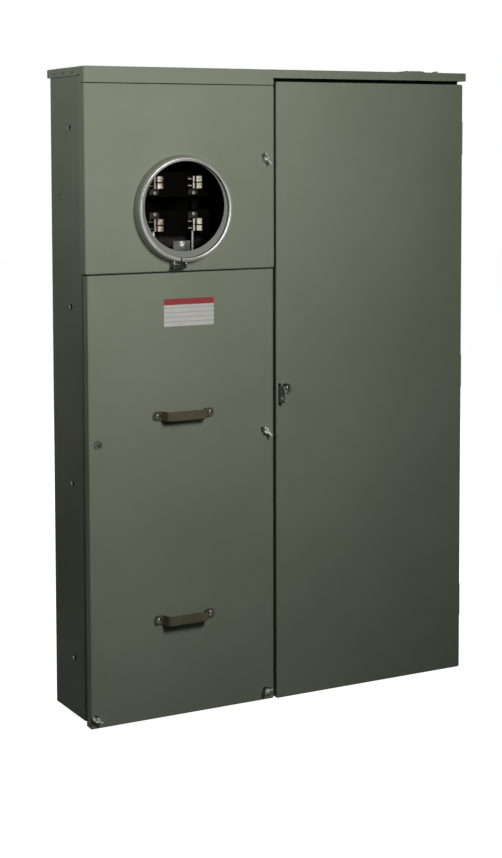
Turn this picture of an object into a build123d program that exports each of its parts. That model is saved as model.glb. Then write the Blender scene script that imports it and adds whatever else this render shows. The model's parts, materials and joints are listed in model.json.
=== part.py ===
"""Wall-mounted distribution board with a meter socket, a pull section and a breaker section.

Millimetres. +X to the right, +Y towards the wall, +Z up. The origin is the centre of the
four wall fixing holes, on the plane of the wall.
"""

import os

from build123d import *

# Sheet metal and general clearances
SHEET = 1.6
BEND = 2.6
INNER_BEND = BEND - SHEET
FOLD = 2.0
SEAT = 0.3
HOLE_CLEARANCE = 0.4
RUNNING_CLEARANCE = 0.06

# Enclosure body
BODY_WIDTH = 760.0
BODY_HEIGHT = 1093.0
BODY_DEPTH = 125.5
FRONT_LIP = 26.0
FOOT_HEIGHT = 8.0
FOOT_RADIUS = 17.0
FOOT_TOP_RADIUS = 11.0
WALL_HOLE_RADIUS = 4.4
WALL_HOLES_ACROSS = 610.0
WALL_HOLES_UP = 960.0
DIMPLE_RADIUS = 4.4
DIMPLE_HOLE_RADIUS = 2.0
DIMPLE_PITCH = 299.0
DIMPLE_COUNT = 4
DIMPLE_SETBACK = 44.0
EXTRA_HOLE_SETBACK = 88.0
EXTRA_HOLE_DROP = 113.0

# Front covers and door, measured from the body's outline
DOOR_BAY = 402.0
PULL_COVER_DEPTH = 17.7
DOOR_DEPTH = 19.7
COVER_DROP = 10.0
DOOR_DROP = 11.0
PULL_COVER_INSET = 2.2
METER_COVER_OVERHANG = 1.8
METER_TO_SPLIT = 1.6
COVER_TO_SPLIT = 2.5
DOOR_TO_SPLIT = 2.6
DOOR_TO_SIDE = 3.7
METER_SECTION = 341.0
COVER_JOINT = 2.0
DOOR_TO_SKIRT = 6.0

# Top cap
CAP_OVERHANG = 22.0
CAP_WALL_GAP = 1.0
TALL_SKIRT = 26.6
SHORT_SKIRT = 14.6
CAP_CORNER_WRAP = 21.0
SKIRT_STEP = 4.0
RELIEF_RADIUS = 2.4
SPOT_RADIUS = 2.2
SPOT_PITCH = 38.0
SPOT_DROP = 9.6

# Hub opening in the cap
HUB_TO_SIDE = 70.0
HUB_TO_RIM = 52.0
HUB_RADIUS = 32.0
HUB_PLATE = 86.0
HUB_PLATE_THICKNESS = 2.0
HUB_BOSS_RADIUS = 26.0
HUB_BOSS_HEIGHT = 3.0
HUB_SCREW_PITCH = 65.0
HUB_SCREW_RADIUS = 5.2
HUB_SCREW_HEIGHT = 2.4
HUB_SHANK_RADIUS = 2.4

# Frame pieces inside the body
END_FLANGE = 22.0
KNOCKOUT_RADII = (44.0, 32.0)
KNOCKOUT_PLACES = (-260.0, -130.0, 120.0, 260.0)
KNOCKOUT_GROOVE = 1.0
TOP_RAIL_HEIGHT = 40.0
TOP_RAIL_DEPTH = 13.0
MULLION_LEFT = 30.0
MULLION_RIGHT = 13.0
MULLION_FOOT = 22.0
SHELF_LIP = 20.0

# Meter opening, ring and jaws
METER_SHIFT = -1.7
METER_ABOVE_SHELF = 105.5
COLLAR_RADIUS = 85.2
COLLAR_HEIGHT = 12.5
COLLAR_FLARE = 1.2
LIP_SETBACK = 3.5
LIP_RADIUS = 69.0
SOCKET_RADIUS = 75.3
SOCKET_RISE = 5.0
RING_RADIUS = 91.0
RING_TAPER = 3.3
RING_OPENING = 80.8
RING_HEIGHT = 17.7
RING_HEM = 2.4
RING_BEAD = 2.2
RING_GAP = 2.4
LATCH_SHIFT = -11.0
EAR_THICKNESS = 2.0
EAR_WIDTH = 9.0
EAR_REACH = 6.0
EAR_OFFSET = 11.0
EAR_ROOT_RADIUS = 88.0
LATCH_PIN_RADIUS = 1.2
LATCH_BARREL = 2.6
LATCH_RISE = 3.5
LATCH_CLEARANCE = 1.0
JAW_OFFSET = 37.0
JAW_UPPER = 45.0
JAW_LOWER = -27.0
JAW_HEIGHT = 21.0
JAW_METAL = 1.8
JAW_MOUTH = 3.6
JAW_TIP_AHEAD = 6.0
JAW_SLIT = 2.2
JAW_FOOT = 6.0
JAW_HEEL = 2.4
JAW_PINCH = 0.72
JAW_FLARE = 5.2
JAW_FLARE_DEPTH = 7.5
JAW_BEND = 1.4
JAW_SCREW_OFFSET = 18.0
JAW_SCREW_RADIUS = 3.0
JAW_SCREW_HEAD = 2.6
JAW_BASE_SETBACK = 14.0
BLOCK_HALF_WIDTH = 70.0
BLOCK_DEPTH = 38.0
BLOCK_HEIGHT = 42.0
STUD_RADIUS = 3.0

# Bars and lugs
BAR = 3.0
BAR_HEIGHT = 20.0
LEFT_BAR_DROP = 56.0
RIGHT_BAR_DROP = 91.0
LEFT_STRAP_DEPTH = 22.0
RIGHT_STRAP_DEPTH = 18.0
LINE_BAR_WIDTH = 20.0
LUG_WIDTH = 32.0
LUG_DEPTH = 38.0
LUG_HEIGHT = 50.0
LUG_WIRE_RADIUS = 11.0
LUG_SCREW_RADIUS = 8.0
LUG_DROP = 155.0
LUG_ROUND = 8.0
LUG_BLOCK_HALF = 35.0
NEUTRAL_LUG_OFFSET = 92.0
BRACKET_WIDTH = 32.0
BRACKET_METAL = 2.0
BRACKET_AHEAD = 12.0
BRACKET_RISE = 52.0
LEG_FLANGE = 14.0
LEG_FOOT = 18.0
BAR_PLUG = 16.0
BUS_PLUG = 14.0

# Breaker section
PAN_HALF_WIDTH = 110.0
PAN_FOOT = 30.0
PAN_HEIGHT = 30.0
PAN_MARGIN = 12.0
DEAD_FRONT_SETBACK = 22.0
DEAD_FRONT_MARGIN = 4.0
DEAD_FRONT_FLANGE = 8.0
DEAD_FRONT_TOP = 50.0
DEAD_FRONT_BOTTOM = 40.0
RAIL_INSET = 36.0
RAIL_HALF_WIDTH = 15.0
RAIL_FOOT = 16.0
MAIN_WIDTH = 150.0
MAIN_HEIGHT = 76.0
MAIN_BOSS_WIDTH = 96.0
MAIN_BOSS_HEIGHT = 62.0
MAIN_HANDLE_HEIGHT = 34.0
BOSS_PROUD = 5.5
BRANCH_POLE = 25.4
BRANCH_LENGTH = 79.0
BRANCH_BOSS = 48.0
BRANCH_FOOT = 13.0
BRANCH_ROWS = 2
BRANCH_TO_MAIN = 34.0
TWIST_OUT_ROWS = 14
TWIST_OUT_PROUD = 0.7
TWIST_OUT_HALF = 10.7
MAIN_HUB_RADIUS = 13.0
MAIN_LEVER = 15.0
BRANCH_HUB_RADIUS = 9.0
BRANCH_LEVER = 11.0
LEVER_ROOT = 0.40
LEVER_TIP = 0.30
LEVER_LEAN = 18.0
AXLE_SINK = 0.75
BUS_WIDTH = 20.0
BUS_METAL = 4.0
BUS_SPREAD = 15.0
INSULATOR_HEIGHT = 20.0
STAB_LENGTH = 38.0
STAB_REACH = 13.0
STAB_STEP = 4.0
NEUTRAL_SIZE = 12.0
NEUTRAL_LENGTH = 350.0
NEUTRAL_SPREAD = 126.0
NEUTRAL_STAND = 34.0
NEUTRAL_SCREWS = 14
NEUTRAL_SCREW_RADIUS = 2.6
GROUND_LENGTH = 170.0
GROUND_SCREWS = 8

# Door hinges, latch and hasp
HINGE_HEIGHT = 60.0
HINGE_PLACES = (-430.0, 0.0, 430.0)
HINGE_LEAF = 30.0
HINGE_OUTSET = 2.2
KNUCKLE_RADIUS = 3.0
PIN_RADIUS = 1.5
PIN_HEAD = 1.6
PIN_HEAD_RADIUS = 2.8
KNUCKLE_GAP = 0.4
DOOR_KNUCKLE = 22.0
HASP_FROM_SPLIT = 9.5
HASP_THICKNESS = 3.0
HASP_HEIGHT = 30.0
HASP_PROUD = 20.0
HASP_HOLE_RADIUS = 4.8
HASP_CENTRE = -16.0
HASP_HOLE_DROP = 6.0
HASP_CORNER = 12.0
HASP_SLOT_HEIGHT = 38.0
HASP_SLOT_LEFT = 2.0
HASP_SLOT_RIGHT = 0.5
LATCH_FROM_SPLIT = 20.7
LATCH_CENTRE = -6.0
KNOB_RADIUS = 8.8
KNOB_HEIGHT = 11.0
KNOB_RIM = 3.7
KNOB_CHEEK = 5.9
KNOB_SHOULDER = 9.0
KNOB_SLOT = 7.9
KNOB_SHAFT_RADIUS = 4.0
CAM_LENGTH = 19.0
CAM_WIDTH = 9.0
CAM_THICKNESS = 3.0
STIFFENER_WIDTH = 40.0
STIFFENER_HEIGHT = 11.0
STIFFENER_CREST = 28.0

# Cover screws and handles
COVER_SCREW_RADIUS = 2.5
WING_SPAN = 11.0
CORNER_WING_SPAN = 8.2
WING_THICKNESS = 3.4
WING_HEIGHT = 9.0
WING_HUB_RADIUS = 6.2
WING_HUB_HEIGHT = 8.0
WING_SEAL_HOLE = 1.3
WING_HUB_TOP = 4.6
WING_ROOT = 2.3
WING_CUT = 1.0
WING_HEEL = 3.6
WING_SHOULDER = 6.8
SEAL_HOLE_INSET = 2.2
SEAL_HOLE_AHEAD = 7.6
SCREW_FROM_SPLIT = 20.0
METER_SCREW_RISE = 84.0
PULL_SCREW_RISE = 479.0
CORNER_SCREW_INSET = 11.0
CORNER_SCREW_RISE = 17.5
PAN_SCREW_INSET = 18.5
PAN_SCREW_RISE = 480.0
PAN_SCREW_RADIUS = 7.0
PAN_SCREW_HEIGHT = 3.4
PAN_SCREW_CROWN = 4.4
PAN_SCREW_RIM = 1.4
SCREW_POINT = 6.4
NUT_RADIUS = 5.5
NUT_HEIGHT = 4.0
HANDLE_SPAN = 99.0
HANDLE_FOOT = 16.0
HANDLE_GRIP = 72.0
HANDLE_HEIGHT = 15.3
HANDLE_PROUD = 20.0
HANDLE_CORNER = 6.0
HANDLE_METAL = 2.5
HANDLE_BEND = 4.0
HANDLE_SHIFT = -0.9
HANDLE_RISES = (520.0, 170.5)
HANDLE_SCREW_RADIUS = 5.6
HANDLE_SCREW_HEIGHT = 3.6
HANDLE_SCREW_CROWN = 3.1
HANDLE_SCREW_SHOULDER = 3.2
HANDLE_SCREW_CHEEK = 5.0
HANDLE_SHANK_RADIUS = 2.5

# Planes and lines that several pieces share
LEFT = -BODY_WIDTH / 2
RIGHT = BODY_WIDTH / 2
BOTTOM = -BODY_HEIGHT / 2
TOP = BODY_HEIGHT / 2
BACK = -FOOT_HEIGHT
BACK_INSIDE = BACK - SHEET
RIM = BACK - BODY_DEPTH
RIM_INSIDE = RIM + SHEET
SPLIT = RIGHT - DOOR_BAY
SHELF = TOP - METER_SECTION
CAP_TOP = TOP + SHEET
CAP_FRONT = RIM - CAP_OVERHANG
CAP_SIDE = RIGHT + CAP_WALL_GAP + SHEET
COVER_BACK = RIM - SEAT
PULL_FRONT = COVER_BACK - PULL_COVER_DEPTH
DOOR_FRONT = COVER_BACK - DOOR_DEPTH
COVER_BOTTOM = BOTTOM - COVER_DROP
METER_X = (LEFT + SPLIT) / 2 + METER_SHIFT
METER_Z = SHELF + METER_ABOVE_SHELF
MULLION_WEB = SPLIT - MULLION_LEFT
MULLION_EDGE = SPLIT + MULLION_RIGHT
SCREW_X = SPLIT - SCREW_FROM_SPLIT
CENTRE_X = (MULLION_EDGE + RIGHT - FRONT_LIP) / 2

os.makedirs("parts", exist_ok=True)


def save(piece, name):
    """Labels a finished piece and writes its STEP file."""
    piece.part.label = name
    export_step(piece.part, f"parts/{name}.step")


def block(x0, x1, y0, y1, z0, z1, mode=Mode.ADD):
    """A rectangular block between two opposite corners."""
    with Locations(((x0 + x1) / 2, (y0 + y1) / 2, (z0 + z1) / 2)):
        Box(x1 - x0, y1 - y0, z1 - z0, mode=mode)


def rod_y(x, z, radius, y0, y1, mode=Mode.ADD):
    """A round bar or hole that runs front to back."""
    with Locations(Location((x, (y0 + y1) / 2, z), (90, 0, 0))):
        Cylinder(radius, y1 - y0, mode=mode)


def rod_x(y, z, radius, x0, x1, mode=Mode.ADD):
    """A round bar or hole that runs left to right."""
    with Locations(Location(((x0 + x1) / 2, y, z), (0, 90, 0))):
        Cylinder(radius, x1 - x0, mode=mode)


def rod_z(x, y, radius, z0, z1, mode=Mode.ADD):
    """A round bar or hole that runs up and down."""
    with Locations((x, y, (z0 + z1) / 2)):
        Cylinder(radius, z1 - z0, mode=mode)


def folded(plane, points, metal, bend, length):
    """A strip of metal folded along the middle line of its section, then drawn out to its length."""
    with BuildSketch(plane) as section:
        with BuildLine():
            FilletPolyline(*points, radius=bend)
        trace(line_width=metal)
    extrude(section.sketch, amount=length)


def sheet_pan(x0, x1, front, back, z0, z1):
    """A pan folded from sheet: a front face with rounded edges and four flanges, open at the back."""
    block(x0, x1, front, back, z0, z1)
    front_face = faces().sort_by(Axis.Y)[0]
    fillet(front_face.edges() + edges().filter_by(Axis.Y), BEND)
    offset(amount=-SHEET, openings=faces().sort_by(Axis.Y)[-1])


def turned(x, z, points, mode=Mode.ADD):
    """A turned form about a front-to-back axis, from points given as radius and depth."""
    with BuildSketch(Plane(origin=(x, 0, z), x_dir=(1, 0, 0), z_dir=(0, 0, 1))) as section:
        with BuildLine():
            Polyline(*points, close=True)
        make_face()
    revolve(section.sketch, axis=Axis((x, 0, z), (0, 1, 0)), mode=mode)


# Cover screws: one line for the wing screws, each with its cover, the turn of its wings and their reach
WING_SCREWS = {
    "wing_screw_meter": (SCREW_X, METER_Z + METER_SCREW_RISE, DOOR_FRONT, 62, WING_SPAN),
    "wing_screw_middle": (SCREW_X, COVER_BOTTOM + PULL_SCREW_RISE, PULL_FRONT, 50, WING_SPAN),
    "wing_screw_right": (SCREW_X, COVER_BOTTOM + CORNER_SCREW_RISE, PULL_FRONT, -28, CORNER_WING_SPAN),
    "wing_screw_left": (LEFT + CORNER_SCREW_INSET, COVER_BOTTOM + CORNER_SCREW_RISE, PULL_FRONT, 32,
                        CORNER_WING_SPAN),
}
PAN_SCREW = (LEFT + PAN_SCREW_INSET, COVER_BOTTOM + PAN_SCREW_RISE)
COVER_SCREW_PLACES = [(x, z) for x, z, *rest in WING_SCREWS.values()] + [PAN_SCREW]


def cover_screw_holes(front, back):
    """Clearance holes for every cover screw, between two depths."""
    for x, z in COVER_SCREW_PLACES:
        rod_y(x, z, COVER_SCREW_RADIUS + HOLE_CLEARANCE, front, back, mode=Mode.SUBTRACT)


# Enclosure body: one sheet folded round the back and both sides, with lips turned in at the front
with BuildPart() as enclosure_body:
    with BuildSketch(Plane.XY.offset(BOTTOM)):
        with Locations((0, (BACK + RIM) / 2)):
            RectangleRounded(BODY_WIDTH, BODY_DEPTH, BEND)
            RectangleRounded(BODY_WIDTH - 2 * SHEET, BODY_DEPTH - 2 * SHEET, INNER_BEND,
                             mode=Mode.SUBTRACT)
        with Locations((0, RIM)):
            Rectangle(BODY_WIDTH - 2 * FRONT_LIP, 3 * SHEET, mode=Mode.SUBTRACT)
    extrude(amount=BODY_HEIGHT)
    wall_holes = GridLocations(WALL_HOLES_ACROSS, WALL_HOLES_UP, 2, 2).locations
    for spot in wall_holes:
        foot_x = spot.position.X
        foot_z = spot.position.Y
        turned(foot_x, foot_z, [(0, BACK_INSIDE), (FOOT_RADIUS, BACK_INSIDE), (FOOT_RADIUS, BACK),
                                (FOOT_TOP_RADIUS, 0), (0, 0)])
        turned(foot_x, foot_z, [(0, BACK_INSIDE), (FOOT_RADIUS - SHEET, BACK_INSIDE),
                                (FOOT_TOP_RADIUS - SHEET, -SHEET), (0, -SHEET)], mode=Mode.SUBTRACT)
        rod_y(foot_x, foot_z, WALL_HOLE_RADIUS, -2 * SHEET, SHEET, mode=Mode.SUBTRACT)
    for side in (-1, 1):
        dimple_turn = 90 if side < 0 else -90
        for number in range(DIMPLE_COUNT):
            dimple_z = (number - (DIMPLE_COUNT - 1) / 2) * DIMPLE_PITCH
            with Locations(Location((side * (RIGHT - SHEET / 2), RIM + DIMPLE_SETBACK, dimple_z),
                                    (0, dimple_turn, 0))):
                Cone(DIMPLE_HOLE_RADIUS, DIMPLE_RADIUS, SHEET, mode=Mode.SUBTRACT)
        rod_x(RIM + EXTRA_HOLE_SETBACK, (DIMPLE_COUNT - 1) / 2 * DIMPLE_PITCH - EXTRA_HOLE_DROP,
              DIMPLE_HOLE_RADIUS, side * RIGHT - 2 * SHEET, side * RIGHT + 2 * SHEET, mode=Mode.SUBTRACT)
    cover_screw_holes(RIM - SHEET, RIM + 2 * SHEET)
save(enclosure_body, "enclosure_body")

# Bottom end wall: a tray set inside the folded body, with ring grooves that mark the knockouts
TRAY_LEFT = LEFT + SHEET
TRAY_RIGHT = RIGHT - SHEET
with BuildPart() as bottom_end_wall:
    block(TRAY_LEFT, TRAY_RIGHT, RIM_INSIDE, BACK_INSIDE, BOTTOM, BOTTOM + END_FLANGE)
    fillet(edges().filter_by(Axis.Z), BEND)
    offset(amount=-SHEET, openings=faces().sort_by(Axis.Z)[-1])
    for knockout_x in KNOCKOUT_PLACES:
        for radius in KNOCKOUT_RADII:
            with BuildSketch(Plane.XY.offset(BOTTOM)):
                with Locations((knockout_x, (RIM + BACK) / 2)):
                    Circle(radius)
                    Circle(radius - KNOCKOUT_GROOVE, mode=Mode.SUBTRACT)
            extrude(amount=SHEET / 2, mode=Mode.SUBTRACT)
    cover_screw_holes(RIM, RIM_INSIDE + 2 * SHEET)
save(bottom_end_wall, "bottom_end_wall")

# Top rail: a channel behind the lips that closes the frame under the cap
with BuildPart() as top_rail:
    rail_y = RIM_INSIDE + SHEET / 2
    rail_back = RIM_INSIDE + TOP_RAIL_DEPTH
    rail_top = TOP - SHEET / 2
    rail_foot = TOP - TOP_RAIL_HEIGHT
    folded(Plane.YZ.offset(TRAY_LEFT + INNER_BEND),
           [(rail_back, rail_top), (rail_y, rail_top), (rail_y, rail_foot), (rail_back, rail_foot)],
           SHEET, FOLD, TRAY_RIGHT - TRAY_LEFT - 2 * INNER_BEND)
save(top_rail, "top_rail")

# Top cap: a folded lid whose front skirt is deeper over the meter section
with BuildPart() as top_cap:
    block(-CAP_SIDE, CAP_SIDE, CAP_FRONT, -SEAT, CAP_TOP - TALL_SKIRT, CAP_TOP)
    top_face = faces().sort_by(Axis.Z)[-1]
    fillet(top_face.edges() + edges().filter_by(Axis.Z), BEND)
    offset(amount=-SHEET, openings=faces().sort_by(Axis.Z)[0])
    skirt_floor = CAP_TOP - TALL_SKIRT - SHEET
    skirt_edge = CAP_TOP - SHORT_SKIRT
    block(SPLIT - SKIRT_STEP, 2 * CAP_SIDE, 2 * CAP_FRONT, SHEET, skirt_floor, skirt_edge,
          mode=Mode.SUBTRACT)
    block(-2 * CAP_SIDE, 0, CAP_FRONT + CAP_CORNER_WRAP, SHEET, skirt_floor, skirt_edge,
          mode=Mode.SUBTRACT)
    rod_x(CAP_FRONT + CAP_CORNER_WRAP, skirt_edge, RELIEF_RADIUS, -CAP_SIDE - SHEET,
          -CAP_SIDE + 2 * SHEET,
          mode=Mode.SUBTRACT)
    for side in (-1, 1):
        for number in range(3):
            spot_y = (BACK + RIM) / 2 + (number - 1) * SPOT_PITCH
            rod_x(spot_y, CAP_TOP - SPOT_DROP, SPOT_RADIUS, side * CAP_SIDE - 2 * SHEET,
                  side * CAP_SIDE + 2 * SHEET, mode=Mode.SUBTRACT)
    hub_x = RIGHT - HUB_TO_SIDE
    hub_y = RIM + HUB_TO_RIM
    rod_z(hub_x, hub_y, HUB_RADIUS, TOP - SHEET, CAP_TOP + SHEET, mode=Mode.SUBTRACT)
    with Locations((hub_x, hub_y, CAP_TOP)):
        with GridLocations(HUB_SCREW_PITCH, HUB_SCREW_PITCH, 2, 2):
            Cylinder(HUB_SHANK_RADIUS + HOLE_CLEARANCE, 4 * SHEET, mode=Mode.SUBTRACT)
save(top_cap, "top_cap")

# Hub closing plate: a pressed square plate with a round boss, over the hub opening
HUB_PLATE_TOP = CAP_TOP + HUB_PLATE_THICKNESS
with BuildPart() as hub_closing_plate:
    with BuildSketch(Plane.XY.offset(CAP_TOP)):
        with Locations((hub_x, hub_y)):
            RectangleRounded(HUB_PLATE, HUB_PLATE, FOLD * 3)
    extrude(amount=HUB_PLATE_THICKNESS)
    rod_z(hub_x, hub_y, HUB_BOSS_RADIUS, HUB_PLATE_TOP, HUB_PLATE_TOP + HUB_BOSS_HEIGHT)
    fillet(faces().sort_by(Axis.Z)[-1].edges(), FOLD)
    rod_z(hub_x, hub_y, HUB_BOSS_RADIUS - HUB_PLATE_THICKNESS, CAP_TOP,
          HUB_PLATE_TOP + HUB_BOSS_HEIGHT - HUB_PLATE_THICKNESS, mode=Mode.SUBTRACT)
    with Locations((hub_x, hub_y, CAP_TOP)):
        with GridLocations(HUB_SCREW_PITCH, HUB_SCREW_PITCH, 2, 2):
            Cylinder(HUB_SHANK_RADIUS + HOLE_CLEARANCE, 4 * SHEET, mode=Mode.SUBTRACT)
save(hub_closing_plate, "hub_closing_plate")

with BuildPart() as hub_screws:
    with Locations((hub_x, hub_y, HUB_PLATE_TOP)):
        with GridLocations(HUB_SCREW_PITCH, HUB_SCREW_PITCH, 2, 2):
            Cylinder(HUB_SCREW_RADIUS, HUB_SCREW_HEIGHT, align=(Align.CENTER, Align.CENTER, Align.MIN))
            Cylinder(HUB_SHANK_RADIUS, 4 * SHEET, align=(Align.CENTER, Align.CENTER, Align.MAX))
    fillet(faces().filter_by(Axis.Z).group_by(Axis.Z)[-1].edges(), HUB_SCREW_HEIGHT / 2)
save(hub_screws, "hub_screws")

# Centre mullion: a folded post that parts the bays, with windows for the bars that cross it
MULLION_FOOT_Z = BOTTOM + END_FLANGE + SEAT
MULLION_HEAD_Z = TOP - TOP_RAIL_HEIGHT - 2 * SHEET
LINE_BAR_Y = RIM + JAW_BASE_SETBACK + BLOCK_DEPTH + SEAT
LUG_Z = SHELF - LUG_DROP
NEUTRAL_FRONT = BACK_INSIDE - SHEET - NEUTRAL_STAND - NEUTRAL_SIZE
STRAP_FRONT = RIM + JAW_BASE_SETBACK + SEAT
LEFT_BAR_Y = STRAP_FRONT + LEFT_STRAP_DEPTH
RIGHT_BAR_Y = STRAP_FRONT + RIGHT_STRAP_DEPTH
LEFT_BAR_Z = METER_Z - LEFT_BAR_DROP
RIGHT_BAR_Z = METER_Z - RIGHT_BAR_DROP
with BuildPart() as centre_mullion:
    web_x = MULLION_WEB + SHEET / 2
    face_y = RIM + SHEET / 2
    foot_y = BACK_INSIDE - SHEET / 2
    folded(Plane.XY.offset(MULLION_FOOT_Z), [(MULLION_EDGE, face_y), (web_x, face_y), (web_x, foot_y),
                                             (web_x + MULLION_FOOT, foot_y)],
           SHEET, FOLD, MULLION_HEAD_Z - MULLION_FOOT_Z)
    face_left = MULLION_WEB + FOLD + SHEET
    block(face_left, MULLION_EDGE, RIM, RIM_INSIDE, BOTTOM + SHEET, TOP - SHEET)
    for bar_y, bar_z in ((LEFT_BAR_Y, LEFT_BAR_Z), (RIGHT_BAR_Y, RIGHT_BAR_Z),
                         (NEUTRAL_FRONT - BAR, LUG_Z)):
        block(MULLION_WEB - SHEET, MULLION_WEB + 2 * SHEET, bar_y - BAR, bar_y + 2 * BAR,
              bar_z - BAR_HEIGHT / 2 - BAR, bar_z + BAR_HEIGHT / 2 + BAR, mode=Mode.SUBTRACT)
    cover_screw_holes(RIM - SHEET, RIM + 2 * SHEET)
save(centre_mullion, "centre_mullion")

# Shelf between the meter and pull sections, with slots for the line bars
SHELF_RIGHT = MULLION_WEB - HOLE_CLEARANCE
with BuildPart() as section_shelf:
    lip_left = LEFT + FRONT_LIP + HOLE_CLEARANCE
    shelf_back = BACK_INSIDE - HOLE_CLEARANCE
    folded(Plane.YZ.offset(lip_left), [(face_y, SHELF + SHELF_LIP), (face_y, SHELF), (shelf_back, SHELF)],
           SHEET, FOLD, SHELF_RIGHT - lip_left)
    shelf_left = TRAY_LEFT + HOLE_CLEARANCE
    block(shelf_left, lip_left, RIM_INSIDE + HOLE_CLEARANCE, shelf_back, SHELF - SHEET / 2,
          SHELF + SHEET / 2)
    for side in (-1, 1):
        slot_x = METER_X + side * JAW_OFFSET
        slot_half = LINE_BAR_WIDTH / 2 + BAR
        block(slot_x - slot_half, slot_x + slot_half, LINE_BAR_Y - BAR, LINE_BAR_Y + 2 * BAR,
              SHELF - 2 * SHEET, SHELF + 2 * SHEET, mode=Mode.SUBTRACT)
save(section_shelf, "section_shelf")

# Meter cover: a pan with a pressed collar, its lip turned in round the meter opening
METER_FRONT = DOOR_FRONT
COLLAR_FRONT = METER_FRONT - COLLAR_HEIGHT
METER_COVER_TOP = CAP_TOP - TALL_SKIRT - COVER_JOINT / 2
with BuildPart() as meter_cover:
    sheet_pan(LEFT - METER_COVER_OVERHANG, SPLIT - METER_TO_SPLIT, METER_FRONT, COVER_BACK,
              SHELF + COVER_JOINT / 2, METER_COVER_TOP)
    rod_y(METER_X, METER_Z, COLLAR_RADIUS - SHEET, METER_FRONT - SHEET, METER_FRONT + 2 * SHEET,
          mode=Mode.SUBTRACT)
    turned(METER_X, METER_Z, [(COLLAR_RADIUS - SHEET, METER_FRONT + SHEET),
                              (COLLAR_RADIUS, METER_FRONT + SHEET),
                              (COLLAR_RADIUS, COLLAR_FRONT + 2 * SHEET),
                              (COLLAR_RADIUS + COLLAR_FLARE, COLLAR_FRONT + SHEET),
                              (COLLAR_RADIUS + COLLAR_FLARE / 2, COLLAR_FRONT),
                              (COLLAR_RADIUS - SHEET, COLLAR_FRONT),
                              (LIP_RADIUS, COLLAR_FRONT + LIP_SETBACK),
                              (LIP_RADIUS, COLLAR_FRONT + LIP_SETBACK + SHEET),
                              (COLLAR_RADIUS - SHEET, COLLAR_FRONT + SHEET)])
    rod_y(METER_X, METER_Z + SOCKET_RISE, SOCKET_RADIUS, COLLAR_FRONT - SHEET, METER_FRONT,
          mode=Mode.SUBTRACT)
    rod_y(SCREW_X, METER_Z + METER_SCREW_RISE, COVER_SCREW_RADIUS + HOLE_CLEARANCE, METER_FRONT - SHEET,
          METER_FRONT + 2 * SHEET, mode=Mode.SUBTRACT)
save(meter_cover, "meter_cover")

# Sealing ring: a tapered band with a rolled bead at the front, split below between two ears
RING_BACK = METER_FRONT - SEAT
RING_FRONT = RING_BACK - RING_HEIGHT
EAR_Y = RING_BACK - RING_HEIGHT / 2
EAR_Z = METER_Z - RING_RADIUS - EAR_REACH
LATCH_X = METER_X + LATCH_SHIFT
with BuildPart() as sealing_ring:
    half = SHEET / 2
    with BuildSketch(Plane(origin=(METER_X, 0, METER_Z), x_dir=(1, 0, 0), z_dir=(0, 0, 1))):
        with BuildLine():
            FilletPolyline((RING_RADIUS - half, RING_BACK),
                           (RING_RADIUS - RING_TAPER - half, RING_FRONT + half),
                           (RING_OPENING + half, RING_FRONT + half),
                           (RING_OPENING + half, RING_FRONT + RING_HEM + RING_BEAD), radius=RING_BEAD)
        trace(line_width=SHEET)
    revolve(axis=Axis((METER_X, 0, METER_Z), (0, 1, 0)))
    block(LATCH_X - RING_GAP / 2, LATCH_X + RING_GAP / 2, 2 * RING_FRONT, 0, METER_Z - 2 * RING_RADIUS,
          METER_Z, mode=Mode.SUBTRACT)
    for side in (-1, 1):
        ear_x = LATCH_X + side * EAR_OFFSET
        ear_root = METER_Z - (EAR_ROOT_RADIUS ** 2 - (ear_x - METER_X) ** 2) ** 0.5
        block(ear_x - EAR_THICKNESS / 2, ear_x + EAR_THICKNESS / 2, EAR_Y - EAR_WIDTH / 2,
              EAR_Y + EAR_WIDTH / 2, EAR_Z, ear_root)
    pin_x = LATCH_X - EAR_OFFSET
    rod_y(pin_x, EAR_Z, LATCH_BARREL, EAR_Y - EAR_WIDTH / 2, EAR_Y - EAR_WIDTH / 6)
    rod_y(pin_x, EAR_Z, LATCH_BARREL, EAR_Y + EAR_WIDTH / 6, EAR_Y + EAR_WIDTH / 2)
    block(pin_x - LATCH_BARREL - SEAT, pin_x + LATCH_BARREL + SEAT, EAR_Y - EAR_WIDTH / 6,
          EAR_Y + EAR_WIDTH / 6,
          EAR_Z - LATCH_BARREL, EAR_Z + LATCH_BARREL + SEAT, mode=Mode.SUBTRACT)
    rod_y(pin_x, EAR_Z, LATCH_PIN_RADIUS + RUNNING_CLEARANCE, EAR_Y - EAR_WIDTH, EAR_Y + EAR_WIDTH,
          mode=Mode.SUBTRACT)
save(sealing_ring, "sealing_ring")

with BuildPart() as ring_latch_pin:
    rod_y(pin_x, EAR_Z, LATCH_PIN_RADIUS, EAR_Y - EAR_WIDTH / 2, EAR_Y + EAR_WIDTH / 2)
save(ring_latch_pin, "ring_latch_pin")

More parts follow.
